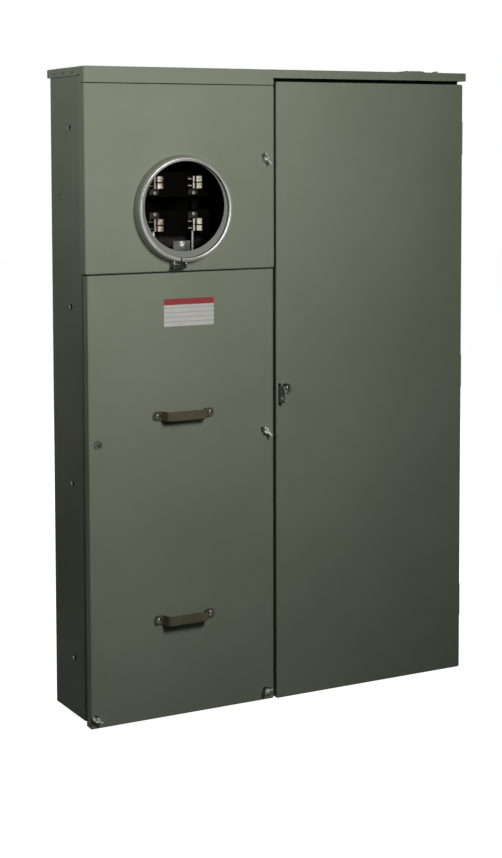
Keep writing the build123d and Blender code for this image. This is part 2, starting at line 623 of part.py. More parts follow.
# Ring latch: a strap with a filling block, which turns on the pin in one ear and hooks behind the other
LATCH_LENGTH = 2 * EAR_OFFSET + EAR_THICKNESS / 2 + SEAT + SHEET / 2
with BuildPart() as ring_latch:
    strap_z = EAR_Z - LATCH_BARREL + SHEET / 2
    far_ear = LATCH_X + EAR_OFFSET - EAR_THICKNESS / 2
    block(pin_x + LATCH_BARREL + LATCH_CLEARANCE, far_ear - LATCH_CLEARANCE, EAR_Y - EAR_WIDTH / 2,
          EAR_Y + EAR_WIDTH / 2, EAR_Z - LATCH_BARREL, EAR_Z + LATCH_RISE)
    fillet(edges().filter_by(Axis.X), SHEET)
    with BuildSketch(Plane.XZ.offset(-EAR_Y - EAR_WIDTH / 6 + SEAT)):
        with BuildLine():
            FilletPolyline((pin_x, strap_z), (pin_x + LATCH_LENGTH, strap_z),
                           (pin_x + LATCH_LENGTH, EAR_Z + FOLD),
                           radius=SHEET)
        trace(line_width=SHEET)
    extrude(amount=EAR_WIDTH / 3 - 2 * SEAT)
    rod_y(pin_x, EAR_Z, LATCH_BARREL, EAR_Y - EAR_WIDTH / 6 + SEAT, EAR_Y + EAR_WIDTH / 6 - SEAT)
    rod_y(pin_x, EAR_Z, LATCH_PIN_RADIUS + RUNNING_CLEARANCE, EAR_Y - EAR_WIDTH, EAR_Y + EAR_WIDTH,
          mode=Mode.SUBTRACT)
save(ring_latch, "ring_latch")

# Jaw blocks: moulded bars that carry the jaws, grooved for the straps and drilled for the studs
BLOCK_FRONT = RIM + JAW_BASE_SETBACK
BLOCK_BACK = BLOCK_FRONT + BLOCK_DEPTH
JAW_ROWS = {"upper": (JAW_UPPER, -1), "lower": (JAW_LOWER, 1)}
with BuildPart() as jaw_blocks:
    for jaw_rise, screw_side in JAW_ROWS.values():
        block_z = METER_Z + jaw_rise + screw_side * (JAW_SCREW_OFFSET - JAW_HEIGHT / 2) / 2
        block(METER_X - BLOCK_HALF_WIDTH, METER_X + BLOCK_HALF_WIDTH, BLOCK_FRONT, BLOCK_BACK,
              block_z - BLOCK_HEIGHT / 2, block_z + BLOCK_HEIGHT / 2)
    fillet(edges().filter_by(Axis.Y), FOLD)
    for side, groove_back in ((-1, LEFT_BAR_Y), (1, RIGHT_BAR_Y)):
        jaw_x = METER_X + side * JAW_OFFSET
        rod_y(jaw_x, METER_Z + JAW_UPPER, STUD_RADIUS + RUNNING_CLEARANCE, BLOCK_FRONT, BLOCK_BACK,
              mode=Mode.SUBTRACT)
        block(jaw_x - BAR / 2 - SEAT, jaw_x + BAR / 2 + SEAT, BLOCK_FRONT, groove_back + BAR + SEAT,
              METER_Z + JAW_LOWER - BLOCK_HEIGHT, METER_Z + JAW_LOWER + JAW_SCREW_OFFSET / 2,
              mode=Mode.SUBTRACT)
save(jaw_blocks, "jaw_blocks")

# Meter jaws: spring clips of two slit leaves with flared mouths, on a base plate
LEAF = (JAW_MOUTH + JAW_METAL) / 2
for row, (jaw_rise, screw_side) in JAW_ROWS.items():
    jaw_z = METER_Z + jaw_rise
    tip_y = RIM - JAW_TIP_AHEAD
    base_y = BLOCK_FRONT - JAW_METAL / 2
    plate_far = jaw_z + screw_side * (JAW_SCREW_OFFSET + JAW_SCREW_RADIUS)
    plate_near = jaw_z - screw_side * JAW_HEIGHT / 2
    with BuildPart() as jaws:
        for side in (-1, 1):
            jaw_x = METER_X + side * JAW_OFFSET
            for way in (-1, 1):
                folded(Plane.XY.offset(jaw_z - JAW_HEIGHT / 2),
                       [(jaw_x + way * (LEAF + JAW_FOOT), base_y),
                        (jaw_x + way * (LEAF + JAW_HEEL), base_y),
                        (jaw_x + way * LEAF * JAW_PINCH, tip_y + JAW_FLARE_DEPTH),
                        (jaw_x + way * (LEAF + JAW_FLARE), tip_y)],
                       JAW_METAL, JAW_BEND, JAW_HEIGHT)
            half_width = LEAF + JAW_FOOT
            block(jaw_x - half_width, jaw_x + half_width, tip_y - JAW_METAL, base_y - JAW_FOOT,
                  jaw_z - JAW_SLIT / 2,
                  jaw_z + JAW_SLIT / 2, mode=Mode.SUBTRACT)
            block(jaw_x - half_width, jaw_x + half_width, BLOCK_FRONT - JAW_METAL, BLOCK_FRONT,
                  min(plate_far, plate_near), max(plate_far, plate_near))
            if row == "upper":
                rod_y(jaw_x, jaw_z, STUD_RADIUS, BLOCK_FRONT - JAW_METAL, BLOCK_BACK)
    save(jaws, f"jaws_{row}")

# Brackets that carry both jaw blocks from the back of the enclosure
with BuildPart() as jaw_brackets:
    bracket_low = METER_Z + JAW_LOWER - BLOCK_HEIGHT / 2
    bracket_high = METER_Z + JAW_UPPER + BLOCK_HEIGHT / 2
    for side in (-1, 1):
        leg_x = METER_X + side * (BLOCK_HALF_WIDTH - SHEET / 2)
        folded(Plane.XY.offset(bracket_low),
               [(leg_x - side * LEG_FLANGE, BLOCK_BACK + SHEET / 2), (leg_x, BLOCK_BACK + SHEET / 2),
                (leg_x, foot_y),
                (leg_x + side * LEG_FOOT, foot_y)], SHEET, FOLD, bracket_high - bracket_low)
save(jaw_brackets, "jaw_brackets")

# Straps and bars from the lower jaws across to the main breaker
MAIN_LEFT = CENTRE_X - MAIN_WIDTH / 2
BAR_END = MAIN_LEFT + BAR_PLUG
LOAD_BARS = {"left": (-1, LEFT_BAR_Y, LEFT_BAR_Z), "right": (1, RIGHT_BAR_Y, RIGHT_BAR_Z)}
for hand, (side, bar_y, bar_z) in LOAD_BARS.items():
    strap_x = METER_X + side * JAW_OFFSET
    with BuildPart() as load_bar:
        block(strap_x - BAR / 2, strap_x + BAR / 2, STRAP_FRONT, bar_y + BAR, bar_z - BAR_HEIGHT / 2,
              METER_Z + JAW_LOWER + JAW_SCREW_OFFSET / 2 - SEAT)
        block(strap_x - BAR / 2, BAR_END, bar_y, bar_y + BAR, bar_z - BAR_HEIGHT / 2,
              bar_z + BAR_HEIGHT / 2)
    save(load_bar, f"load_bar_{hand}")

# Line bars from the upper jaws down to the lugs in the pull section
with BuildPart() as line_bars:
    for side in (-1, 1):
        bar_x = METER_X + side * JAW_OFFSET
        block(bar_x - LINE_BAR_WIDTH / 2, bar_x + LINE_BAR_WIDTH / 2, LINE_BAR_Y, LINE_BAR_Y + BAR,
              LUG_Z - LUG_HEIGHT / 2, METER_Z + JAW_UPPER + LINE_BAR_WIDTH / 2)
    fillet(edges().filter_by(Axis.Y), FOLD)
save(line_bars, "line_bars")

# Lugs: each a block with a wire bore up its length and a screw bore in its face
NEUTRAL_LUG_X = METER_X + NEUTRAL_LUG_OFFSET
LUGS = {
    "line_lugs": [(METER_X - JAW_OFFSET, LINE_BAR_Y), (METER_X + JAW_OFFSET, LINE_BAR_Y)],
    "neutral_lug": [(NEUTRAL_LUG_X, NEUTRAL_FRONT - BAR)],
}
for lug_name, places in LUGS.items():
    with BuildPart() as lugs:
        for lug_x, lug_back in places:
            block(lug_x - LUG_WIDTH / 2, lug_x + LUG_WIDTH / 2, lug_back - LUG_DEPTH, lug_back,
                  LUG_Z - LUG_HEIGHT / 2, LUG_Z + LUG_HEIGHT / 2)
        fillet(edges().filter_by(Axis.Z).group_by(Axis.Y)[0], LUG_ROUND)
        for lug_x, lug_back in places:
            wire_y = lug_back - LUG_DEPTH / 2 + BAR
            rod_z(lug_x, wire_y, LUG_WIRE_RADIUS, LUG_Z - LUG_HEIGHT, LUG_Z + LUG_HEIGHT,
                  mode=Mode.SUBTRACT)
            rod_y(lug_x, LUG_Z, LUG_SCREW_RADIUS, lug_back - LUG_DEPTH - BAR, wire_y, mode=Mode.SUBTRACT)
    save(lugs, lug_name)

with BuildPart() as lug_block:
    lug_half = JAW_OFFSET + LUG_WIDTH / 2
    block(METER_X - lug_half, METER_X + lug_half, LINE_BAR_Y + BAR, BACK_INSIDE, LUG_Z - LUG_BLOCK_HALF,
          LUG_Z + LUG_BLOCK_HALF)
    fillet(edges().filter_by(Axis.Y), FOLD)
save(lug_block, "lug_block")

# Neutral link and its stand-off, from the neutral lug across to the neutral bar
NEUTRAL_LEFT_X = CENTRE_X - NEUTRAL_SPREAD
with BuildPart() as neutral_link:
    block(NEUTRAL_LUG_X - LUG_WIDTH / 2, NEUTRAL_LEFT_X + NEUTRAL_SIZE / 2, NEUTRAL_FRONT - BAR,
          NEUTRAL_FRONT,
          LUG_Z - BAR_HEIGHT / 2, LUG_Z + BAR_HEIGHT / 2)
    fillet(edges().filter_by(Axis.Y), FOLD)
save(neutral_link, "neutral_link")

# Meter bracket: a folded tab on the shelf lip that stands up in the meter opening
with BuildPart() as meter_bracket:
    tab_y = RIM - BRACKET_METAL / 2
    tab_front = RIM - BRACKET_AHEAD
    step_z = SHELF + SHELF_LIP
    folded(Plane.YZ.offset(METER_X - BRACKET_WIDTH / 2 + BRACKET_METAL),
           [(tab_y, SHELF + SHELF_LIP / 3), (tab_y, step_z), (tab_front, step_z),
            (tab_front, SHELF + BRACKET_RISE)],
           BRACKET_METAL, FOLD, BRACKET_WIDTH)
save(meter_bracket, "meter_bracket")

with BuildPart() as jaw_screws:
    for jaw_rise, screw_side in JAW_ROWS.values():
        for side in (-1, 1):
            rod_y(METER_X + side * JAW_OFFSET, METER_Z + jaw_rise + screw_side * JAW_SCREW_OFFSET,
                  JAW_SCREW_RADIUS,
                  BLOCK_FRONT - JAW_METAL - JAW_SCREW_HEAD, BLOCK_FRONT - JAW_METAL)
    tab_screw_z = SHELF + BRACKET_RISE - JAW_SCREW_RADIUS * 2
    tab_face = tab_front - BRACKET_METAL / 2
    rod_y(METER_X + BRACKET_METAL, tab_screw_z, JAW_SCREW_RADIUS, tab_face - JAW_SCREW_HEAD, tab_face)
save(jaw_screws, "jaw_screws")

# Interior pan: a hat section that carries the main breaker and the branch breakers
PAN_FACE = BACK_INSIDE - PAN_HEIGHT
MAIN_Z = METER_Z - (LEFT_BAR_DROP + RIGHT_BAR_DROP) / 2
PAN_TOP = MAIN_Z + MAIN_HEIGHT / 2 + SHEET
MAIN_BOTTOM = MAIN_Z - MAIN_HEIGHT / 2
ROW_TOP = MAIN_BOTTOM - BRANCH_TO_MAIN
ROW_COUNT = 2 * BRANCH_ROWS + TWIST_OUT_ROWS
ROW_BOTTOM = ROW_TOP - ROW_COUNT * BRANCH_POLE
PAN_BOTTOM = ROW_BOTTOM - PAN_MARGIN
with BuildPart() as interior_pan:
    folded(Plane.XY.offset(PAN_BOTTOM),
           [(CENTRE_X - PAN_HALF_WIDTH - PAN_FOOT, foot_y), (CENTRE_X - PAN_HALF_WIDTH, foot_y),
            (CENTRE_X - PAN_HALF_WIDTH, PAN_FACE + SHEET / 2),
            (CENTRE_X + PAN_HALF_WIDTH, PAN_FACE + SHEET / 2),
            (CENTRE_X + PAN_HALF_WIDTH, foot_y), (CENTRE_X + PAN_HALF_WIDTH + PAN_FOOT, foot_y)],
           SHEET, FOLD, PAN_TOP - PAN_BOTTOM)
save(interior_pan, "interior_pan")

# Bus: an insulator on the pan and two bars, each with stabs that step over to the middle
BUS_BACK = PAN_FACE - INSULATOR_HEIGHT
BUS_FACE = BUS_BACK - BUS_METAL
with BuildPart() as bus_insulator:
    block(CENTRE_X - BUS_SPREAD - BUS_WIDTH, CENTRE_X + BUS_SPREAD + BUS_WIDTH, BUS_BACK, PAN_FACE,
          ROW_BOTTOM, MAIN_BOTTOM - SEAT)
    fillet(edges().filter_by(Axis.Y), FOLD)
save(bus_insulator, "bus_insulator")

for hand, side in (("left", -1), ("right", 1)):
    bus_x = CENTRE_X + side * BUS_SPREAD
    with BuildPart() as branch_bus:
        block(bus_x - BUS_WIDTH / 2, bus_x + BUS_WIDTH / 2, BUS_FACE, BUS_BACK, ROW_BOTTOM,
              MAIN_BOTTOM + BUS_PLUG)
        for number in range(ROW_COUNT // 2):
            stab_z = ROW_TOP - (2 * number + (1.5 if side > 0 else 0.5)) * BRANCH_POLE
            block(bus_x - BUS_WIDTH / 2, bus_x + BUS_WIDTH / 2, BUS_FACE - STAB_STEP, BUS_FACE,
                  stab_z - BAR / 2,
                  stab_z + BAR / 2)
            block(CENTRE_X - STAB_LENGTH / 2, CENTRE_X + STAB_LENGTH / 2, BUS_FACE - STAB_REACH,
                  BUS_FACE - STAB_STEP,
                  stab_z - BAR / 2, stab_z + BAR / 2)
    save(branch_bus, f"branch_bus_{hand}")

# Dead front: a pan over the live parts, with windows for the breakers and pressed twist-outs
DEAD_FRONT = RIM + DEAD_FRONT_SETBACK
DEAD_FRONT_BACK = DEAD_FRONT + SHEET
DEAD_LEFT = MULLION_EDGE + DEAD_FRONT_MARGIN
DEAD_RIGHT = RIGHT - FRONT_LIP - DEAD_FRONT_MARGIN
DEAD_HIGH = TOP - DEAD_FRONT_TOP
DEAD_LOW = BOTTOM + DEAD_FRONT_BOTTOM
CASE_FRONT = DEAD_FRONT_BACK + SEAT
BOSS_FRONT = DEAD_FRONT - BOSS_PROUD
BRANCH_HEIGHT = 2 * BRANCH_POLE - HOLE_CLEARANCE
BRANCH_SHIFT = STAB_LENGTH / 8 + BRANCH_LENGTH / 2
RAIL_PLACES = (DEAD_LOW + RAIL_INSET, DEAD_HIGH - RAIL_INSET)
SCREW_PLACES = [(DEAD_LEFT + RAIL_INSET, z) for z in RAIL_PLACES] + [(DEAD_RIGHT - RAIL_INSET,
                                                                      z) for z in RAIL_PLACES]
with BuildPart() as dead_front:
    sheet_pan(DEAD_LEFT, DEAD_RIGHT, DEAD_FRONT, DEAD_FRONT + DEAD_FRONT_FLANGE, DEAD_LOW, DEAD_HIGH)
    main_half = MAIN_BOSS_WIDTH / 2 + HOLE_CLEARANCE
    main_rise = MAIN_BOSS_HEIGHT / 2 + HOLE_CLEARANCE
    block(CENTRE_X - main_half, CENTRE_X + main_half, DEAD_FRONT - SHEET, DEAD_FRONT_BACK + SHEET,
          MAIN_Z - main_rise,
          MAIN_Z + main_rise, mode=Mode.SUBTRACT)
    for side in (-1, 1):
        column_x = CENTRE_X + side * BRANCH_SHIFT
        window_half = BRANCH_BOSS / 2 + HOLE_CLEARANCE
        block(column_x - window_half, column_x + window_half, DEAD_FRONT - SHEET, DEAD_FRONT_BACK + SHEET,
              ROW_TOP - 2 * BRANCH_ROWS * BRANCH_POLE - HOLE_CLEARANCE, ROW_TOP + HOLE_CLEARANCE,
              mode=Mode.SUBTRACT)
        for number in range(TWIST_OUT_ROWS):
            tab_z = ROW_TOP - (2 * BRANCH_ROWS + number + 0.5) * BRANCH_POLE
            block(column_x - BRANCH_BOSS / 2, column_x + BRANCH_BOSS / 2, DEAD_FRONT - TWIST_OUT_PROUD,
                  DEAD_FRONT,
                  tab_z - TWIST_OUT_HALF, tab_z + TWIST_OUT_HALF)
    for x, z in SCREW_PLACES:
        rod_y(x, z, COVER_SCREW_RADIUS + HOLE_CLEARANCE, DEAD_FRONT - SHEET, DEAD_FRONT_BACK + SHEET,
              mode=Mode.SUBTRACT)
save(dead_front, "dead_front")

with BuildPart() as dead_front_screws:
    for x, z in SCREW_PLACES:
        turned(x, z, [(0, DEAD_FRONT - PAN_SCREW_HEIGHT), (PAN_SCREW_CROWN,
                                                           DEAD_FRONT - PAN_SCREW_HEIGHT),
                      (PAN_SCREW_RADIUS, DEAD_FRONT), (COVER_SCREW_RADIUS, DEAD_FRONT),
                      (COVER_SCREW_RADIUS, DEAD_FRONT_BACK + SCREW_POINT),
                      (0, DEAD_FRONT_BACK + SCREW_POINT)])
save(dead_front_screws, "dead_front_screws")

with BuildPart() as dead_front_rails:
    crest_y = DEAD_FRONT_BACK + SHEET / 2
    for rail_z in RAIL_PLACES:
        low = rail_z - RAIL_HALF_WIDTH
        high = rail_z + RAIL_HALF_WIDTH
        folded(Plane.YZ.offset(DEAD_LEFT + DEAD_FRONT_FLANGE),
               [(foot_y, low - RAIL_FOOT), (foot_y, low), (crest_y, low), (crest_y, high), (foot_y, high),
                (foot_y, high + RAIL_FOOT)], SHEET, FOLD, DEAD_RIGHT - DEAD_LEFT - 2 * DEAD_FRONT_FLANGE)
    for x, z in SCREW_PLACES:
        rod_y(x, z, COVER_SCREW_RADIUS + HOLE_CLEARANCE, DEAD_FRONT, DEAD_FRONT_BACK + SCREW_POINT,
              mode=Mode.SUBTRACT)
save(dead_front_rails, "dead_front_rails")


def handle(x, z, axle_y, hub_radius, lever, height, lean):
    """A breaker handle: a drum on an upright axle, with a tapered lever that leans to one side."""
    reach = hub_radius + lever
    root = hub_radius * LEVER_ROOT
    tip = hub_radius * LEVER_TIP
    handle_plane = Plane(origin=(x, axle_y, z - height / 2)).rotated((0, 0, lean))
    with BuildSketch(handle_plane) as section:
        Circle(hub_radius)
        with BuildLine():
            Polyline((-root, 0), (-tip, -reach), (tip, -reach), (root, 0), close=True)
        make_face()
    extrude(section.sketch, amount=height)
    fillet(edges().filter_by(Axis.Z).sort_by(Axis.Y)[:2], tip / 2)


def handle_well(x, z, axle_y, hub_radius, height):
    """The round well in a breaker's boss that a handle's drum turns in."""
    rod_z(x, axle_y, hub_radius + SEAT, z - height / 2 - SEAT, z + height / 2 + SEAT, mode=Mode.SUBTRACT)


# Main breaker: a moulded case with slots for the bars, and its handle
MAIN_AXLE = BOSS_FRONT + MAIN_HUB_RADIUS * AXLE_SINK
with BuildPart() as main_breaker:
    block(MAIN_LEFT, MAIN_LEFT + MAIN_WIDTH, CASE_FRONT, PAN_FACE, MAIN_BOTTOM, MAIN_Z + MAIN_HEIGHT / 2)
    fillet(edges().filter_by(Axis.Y), BEND)
    block(CENTRE_X - MAIN_BOSS_WIDTH / 2, CENTRE_X + MAIN_BOSS_WIDTH / 2, BOSS_FRONT, CASE_FRONT + BEND,
          MAIN_Z - MAIN_BOSS_HEIGHT / 2, MAIN_Z + MAIN_BOSS_HEIGHT / 2)
    fillet(faces().sort_by(Axis.Y)[0].edges(), SHEET)
    handle_well(CENTRE_X, MAIN_Z, MAIN_AXLE, MAIN_HUB_RADIUS, MAIN_HANDLE_HEIGHT)
    for side, bar_y, bar_z in LOAD_BARS.values():
        block(MAIN_LEFT - BEND, BAR_END + SEAT, bar_y - SEAT, bar_y + BAR + SEAT,
              bar_z - BAR_HEIGHT / 2 - SEAT,
              bar_z + BAR_HEIGHT / 2 + SEAT, mode=Mode.SUBTRACT)
    for side in (-1, 1):
        bus_x = CENTRE_X + side * BUS_SPREAD
        block(bus_x - BUS_WIDTH / 2 - SEAT, bus_x + BUS_WIDTH / 2 + SEAT, BUS_FACE - SEAT,
              BUS_BACK + SEAT,
              MAIN_BOTTOM - BEND, MAIN_BOTTOM + BUS_PLUG + SEAT, mode=Mode.SUBTRACT)
save(main_breaker, "main_breaker")

with BuildPart() as main_handle:
    handle(CENTRE_X, MAIN_Z, MAIN_AXLE, MAIN_HUB_RADIUS, MAIN_LEVER, MAIN_HANDLE_HEIGHT, -LEVER_LEAN)
save(main_handle, "main_handle")

# Branch breakers: two-pole cases that clip over the stabs and rest on the pan at their outer ends
BRANCH_AXLE = BOSS_FRONT + BRANCH_HUB_RADIUS * AXLE_SINK
BRANCH_BACK = BUS_FACE - STAB_STEP - SEAT
BRANCHES = [(side, row) for row in range(BRANCH_ROWS) for side in (-1, 1)]
with BuildPart() as branch_breakers:
    for side, row in BRANCHES:
        branch_x = CENTRE_X + side * BRANCH_SHIFT
        branch_z = ROW_TOP - (2 * row + 1) * BRANCH_POLE
        branch_low = branch_z - BRANCH_HEIGHT / 2
        branch_high = branch_z + BRANCH_HEIGHT / 2
        outer_x = branch_x + side * BRANCH_LENGTH / 2
        foot_x = outer_x - side * BRANCH_FOOT
        block(branch_x - BRANCH_LENGTH / 2, branch_x + BRANCH_LENGTH / 2, CASE_FRONT, BRANCH_BACK,
              branch_low,
              branch_high)
        block(min(outer_x, foot_x), max(outer_x, foot_x), BRANCH_BACK, PAN_FACE, branch_low, branch_high)
        block(branch_x - BRANCH_BOSS / 2, branch_x + BRANCH_BOSS / 2, BOSS_FRONT, CASE_FRONT, branch_low,
              branch_high)
    fillet(faces().group_by(Axis.Y)[0].edges(), SHEET / 2)
    for side, row in BRANCHES:
        branch_z = ROW_TOP - (2 * row + 1) * BRANCH_POLE
        handle_well(CENTRE_X + side * BRANCH_SHIFT, branch_z, BRANCH_AXLE, BRANCH_HUB_RADIUS, BRANCH_POLE)
        for pole in (-0.5, 0.5):
            stab_z = branch_z + pole * BRANCH_POLE
            block(CENTRE_X - STAB_LENGTH, CENTRE_X + STAB_LENGTH, BUS_FACE - STAB_REACH - SEAT,
                  BRANCH_BACK,
                  stab_z - BAR / 2 - SEAT, stab_z + BAR / 2 + SEAT, mode=Mode.SUBTRACT)
save(branch_breakers, "branch_breakers")

for number, (side, row) in enumerate(BRANCHES, start=1):
    branch_z = ROW_TOP - (2 * row + 1) * BRANCH_POLE
    with BuildPart() as branch_handle:
        handle(CENTRE_X + side * BRANCH_SHIFT, branch_z, BRANCH_AXLE, BRANCH_HUB_RADIUS, BRANCH_LEVER,
               BRANCH_POLE,
               -side * LEVER_LEAN)
    save(branch_handle, f"branch_handle_{number}")

# Neutral bars on stand-offs beside the branch breakers, and the ground bar on the back
NEUTRAL_HIGH = LUG_Z + BAR_HEIGHT / 2 + SEAT
NEUTRAL_LOW = NEUTRAL_HIGH - NEUTRAL_LENGTH
with BuildPart() as neutral_stands:
    for side in (-1, 1):
        stand_x = CENTRE_X + side * NEUTRAL_SPREAD
        for stand_z in (NEUTRAL_LOW + NEUTRAL_SIZE, NEUTRAL_HIGH - NEUTRAL_SIZE):
            block(stand_x - NEUTRAL_SIZE / 2, stand_x + NEUTRAL_SIZE / 2, NEUTRAL_FRONT + NEUTRAL_SIZE,
                  BACK_INSIDE - SHEET, stand_z - NEUTRAL_SIZE, stand_z + NEUTRAL_SIZE)
    block(NEUTRAL_LUG_X - LUG_WIDTH / 2, NEUTRAL_LUG_X + LUG_WIDTH / 2, NEUTRAL_FRONT, BACK_INSIDE,
          LUG_Z - LUG_HEIGHT / 2, LUG_Z + LUG_HEIGHT / 2)
    fillet(edges().filter_by(Axis.Y), FOLD)
save(neutral_stands, "neutral_stands")

with BuildPart() as neutral_bars:
    for side in (-1, 1):
        neutral_x = CENTRE_X + side * NEUTRAL_SPREAD
        block(neutral_x - NEUTRAL_SIZE / 2, neutral_x + NEUTRAL_SIZE / 2, NEUTRAL_FRONT,
              NEUTRAL_FRONT + NEUTRAL_SIZE,
              NEUTRAL_LOW, NEUTRAL_HIGH)
        for screw in range(NEUTRAL_SCREWS):
            screw_z = NEUTRAL_LOW + (screw + 0.5) * (NEUTRAL_LENGTH - 2 * BAR_HEIGHT) / NEUTRAL_SCREWS
            rod_y(neutral_x, screw_z, NEUTRAL_SCREW_RADIUS, NEUTRAL_FRONT - BAR,
                  NEUTRAL_FRONT + NEUTRAL_SIZE / 2,
                  mode=Mode.SUBTRACT)
save(neutral_bars, "neutral_bars")

with BuildPart() as ground_bar:
    ground_x = DEAD_RIGHT - RAIL_INSET / 2
    ground_low = DEAD_LOW + RAIL_INSET + RAIL_HALF_WIDTH + RAIL_FOOT + BEND
    block(ground_x - NEUTRAL_SIZE / 2, ground_x + NEUTRAL_SIZE / 2, BACK_INSIDE - NEUTRAL_SIZE,
          BACK_INSIDE, ground_low,
          ground_low + GROUND_LENGTH)
    for screw in range(GROUND_SCREWS):
        screw_z = ground_low + (screw + 0.5) * GROUND_LENGTH / GROUND_SCREWS
        rod_y(ground_x, screw_z, NEUTRAL_SCREW_RADIUS, BACK_INSIDE - 2 * NEUTRAL_SIZE,
              BACK_INSIDE - NEUTRAL_SIZE / 2,
              mode=Mode.SUBTRACT)
save(ground_bar, "ground_bar")

# Pull section cover: a plain pan with holes for its screws and handles
HANDLE_X = (LEFT + SPLIT) / 2 + HANDLE_SHIFT
PULL_RIGHT = SPLIT - COVER_TO_SPLIT
PULL_TOP = SHELF - COVER_JOINT / 2
with BuildPart() as pull_cover:
    sheet_pan(LEFT + PULL_COVER_INSET, PULL_RIGHT, PULL_FRONT, COVER_BACK, COVER_BOTTOM, PULL_TOP)
    for x, z in COVER_SCREW_PLACES[1:]:
        rod_y(x, z, COVER_SCREW_RADIUS + HOLE_CLEARANCE, PULL_FRONT - SHEET, PULL_FRONT + 2 * SHEET,
              mode=Mode.SUBTRACT)
    for rise in HANDLE_RISES:
        for side in (-1, 1):
            rod_y(HANDLE_X + side * HANDLE_SPAN / 2, COVER_BOTTOM + rise,
                  HANDLE_SHANK_RADIUS + HOLE_CLEARANCE,
                  PULL_FRONT - SHEET, PULL_FRONT + 2 * SHEET, mode=Mode.SUBTRACT)
save(pull_cover, "pull_cover")

# Grab handles: flat straps folded to a hat, each held by two dome screws
for place, rise in zip(("upper", "lower"), HANDLE_RISES):
    handle_z = COVER_BOTTOM + rise
    strap_foot = HANDLE_SPAN / 2 + HANDLE_FOOT / 2
    strap_bend = HANDLE_SPAN / 2 - HANDLE_FOOT / 2
    strap_y = PULL_FRONT - HANDLE_METAL / 2
    grip_y = PULL_FRONT - HANDLE_PROUD + HANDLE_METAL / 2
    with BuildPart() as grab_handle:
        folded(Plane.XY.offset(handle_z - HANDLE_HEIGHT / 2),
               [(HANDLE_X - strap_foot, strap_y), (HANDLE_X - strap_bend, strap_y),
                (HANDLE_X - HANDLE_GRIP / 2, grip_y),
                (HANDLE_X + HANDLE_GRIP / 2, grip_y), (HANDLE_X + strap_bend, strap_y),
                (HANDLE_X + strap_foot, strap_y)],
               HANDLE_METAL, HANDLE_BEND, HANDLE_HEIGHT)
        foot_corners = edges().filter_by(Axis.Y).sort_by(Axis.X)
        fillet(foot_corners[:2] + foot_corners[-2:], HANDLE_CORNER)
        for side in (-1, 1):
            rod_y(HANDLE_X + side * HANDLE_SPAN / 2, handle_z, HANDLE_SHANK_RADIUS + HOLE_CLEARANCE,
                  2 * PULL_FRONT, 0,
                  mode=Mode.SUBTRACT)
    save(grab_handle, f"grab_handle_{place}")

with BuildPart() as handle_screws:
    head_y = PULL_FRONT - HANDLE_METAL
    for rise in HANDLE_RISES:
        for side in (-1, 1):
            turned(HANDLE_X + side * HANDLE_SPAN / 2, COVER_BOTTOM + rise,
                   [(0, head_y - HANDLE_SCREW_HEIGHT),
                    (HANDLE_SCREW_CROWN, head_y - HANDLE_SCREW_SHOULDER),
                    (HANDLE_SCREW_CHEEK, head_y - HANDLE_SCREW_HEIGHT / 2), (HANDLE_SCREW_RADIUS, head_y),
                    (HANDLE_SHANK_RADIUS, head_y), (HANDLE_SHANK_RADIUS, PULL_FRONT + SCREW_POINT),
                    (0, PULL_FRONT + SCREW_POINT)])
save(handle_screws, "handle_screws")

with BuildPart() as pull_cover_screw:
    pan_x, pan_z = PAN_SCREW
    turned(pan_x, pan_z, [(0, PULL_FRONT - PAN_SCREW_HEIGHT), (PAN_SCREW_CROWN,
                                                               PULL_FRONT - PAN_SCREW_HEIGHT),
                          (PAN_SCREW_RADIUS, PULL_FRONT - PAN_SCREW_RIM), (PAN_SCREW_RADIUS, PULL_FRONT),
                          (COVER_SCREW_RADIUS, PULL_FRONT), (COVER_SCREW_RADIUS, RIM_INSIDE + NUT_HEIGHT),
                          (0, RIM_INSIDE + NUT_HEIGHT)])
save(pull_cover_screw, "pull_cover_screw")

# Wing screws: a coned hub with two drilled wings for a seal wire, on a long captive shank
for screw_name, (screw_x, screw_z, front, turn, span) in WING_SCREWS.items():
    hub_front = front - WING_HUB_HEIGHT
    with BuildPart() as wing_screw:
        turned(screw_x, screw_z, [(0, hub_front), (WING_HUB_TOP, hub_front), (WING_HUB_RADIUS,
                                                                              front - SEAT),
                                  (COVER_SCREW_RADIUS, front - SEAT),
                                  (COVER_SCREW_RADIUS, RIM_INSIDE + NUT_HEIGHT),
                                  (0, RIM_INSIDE + NUT_HEIGHT)])
        wing_plane = Plane(origin=(screw_x, front - SEAT, screw_z), x_dir=(1, 0, 0),
                           z_dir=(0, 0, 1)).rotated((0, turn, 0))
        wing_front = WING_HUB_HEIGHT + WING_HEIGHT / 2
        with BuildSketch(wing_plane):
            for way in (-1, 1):
                with BuildLine():
                    Polyline((way * WING_ROOT, -WING_CUT), (way * WING_HUB_RADIUS, -WING_CUT),
                             (way * span, -WING_HEEL), (way * span, -wing_front),
                             (way * WING_SHOULDER, -wing_front), (way * WING_ROOT, -WING_HUB_HEIGHT),
                             close=True)
                make_face()
                with Locations((way * (span - SEAL_HOLE_INSET), -SEAL_HOLE_AHEAD)):
                    Circle(WING_SEAL_HOLE, mode=Mode.SUBTRACT)
        extrude(amount=WING_THICKNESS / 2, both=True)
    save(wing_screw, screw_name)

# Clip nuts behind the frame, one for each cover screw
with BuildPart() as clip_nuts:
    for x, z in COVER_SCREW_PLACES:
        nut_front = RIM_INSIDE
        if z < BOTTOM + END_FLANGE:
            nut_front = RIM_INSIDE + SHEET
        rod_y(x, z, NUT_RADIUS, nut_front, nut_front + NUT_HEIGHT)
        rod_y(x, z, COVER_SCREW_RADIUS + RUNNING_CLEARANCE, nut_front - SHEET, nut_front + 2 * NUT_HEIGHT,
              mode=Mode.SUBTRACT)
save(clip_nuts, "clip_nuts")

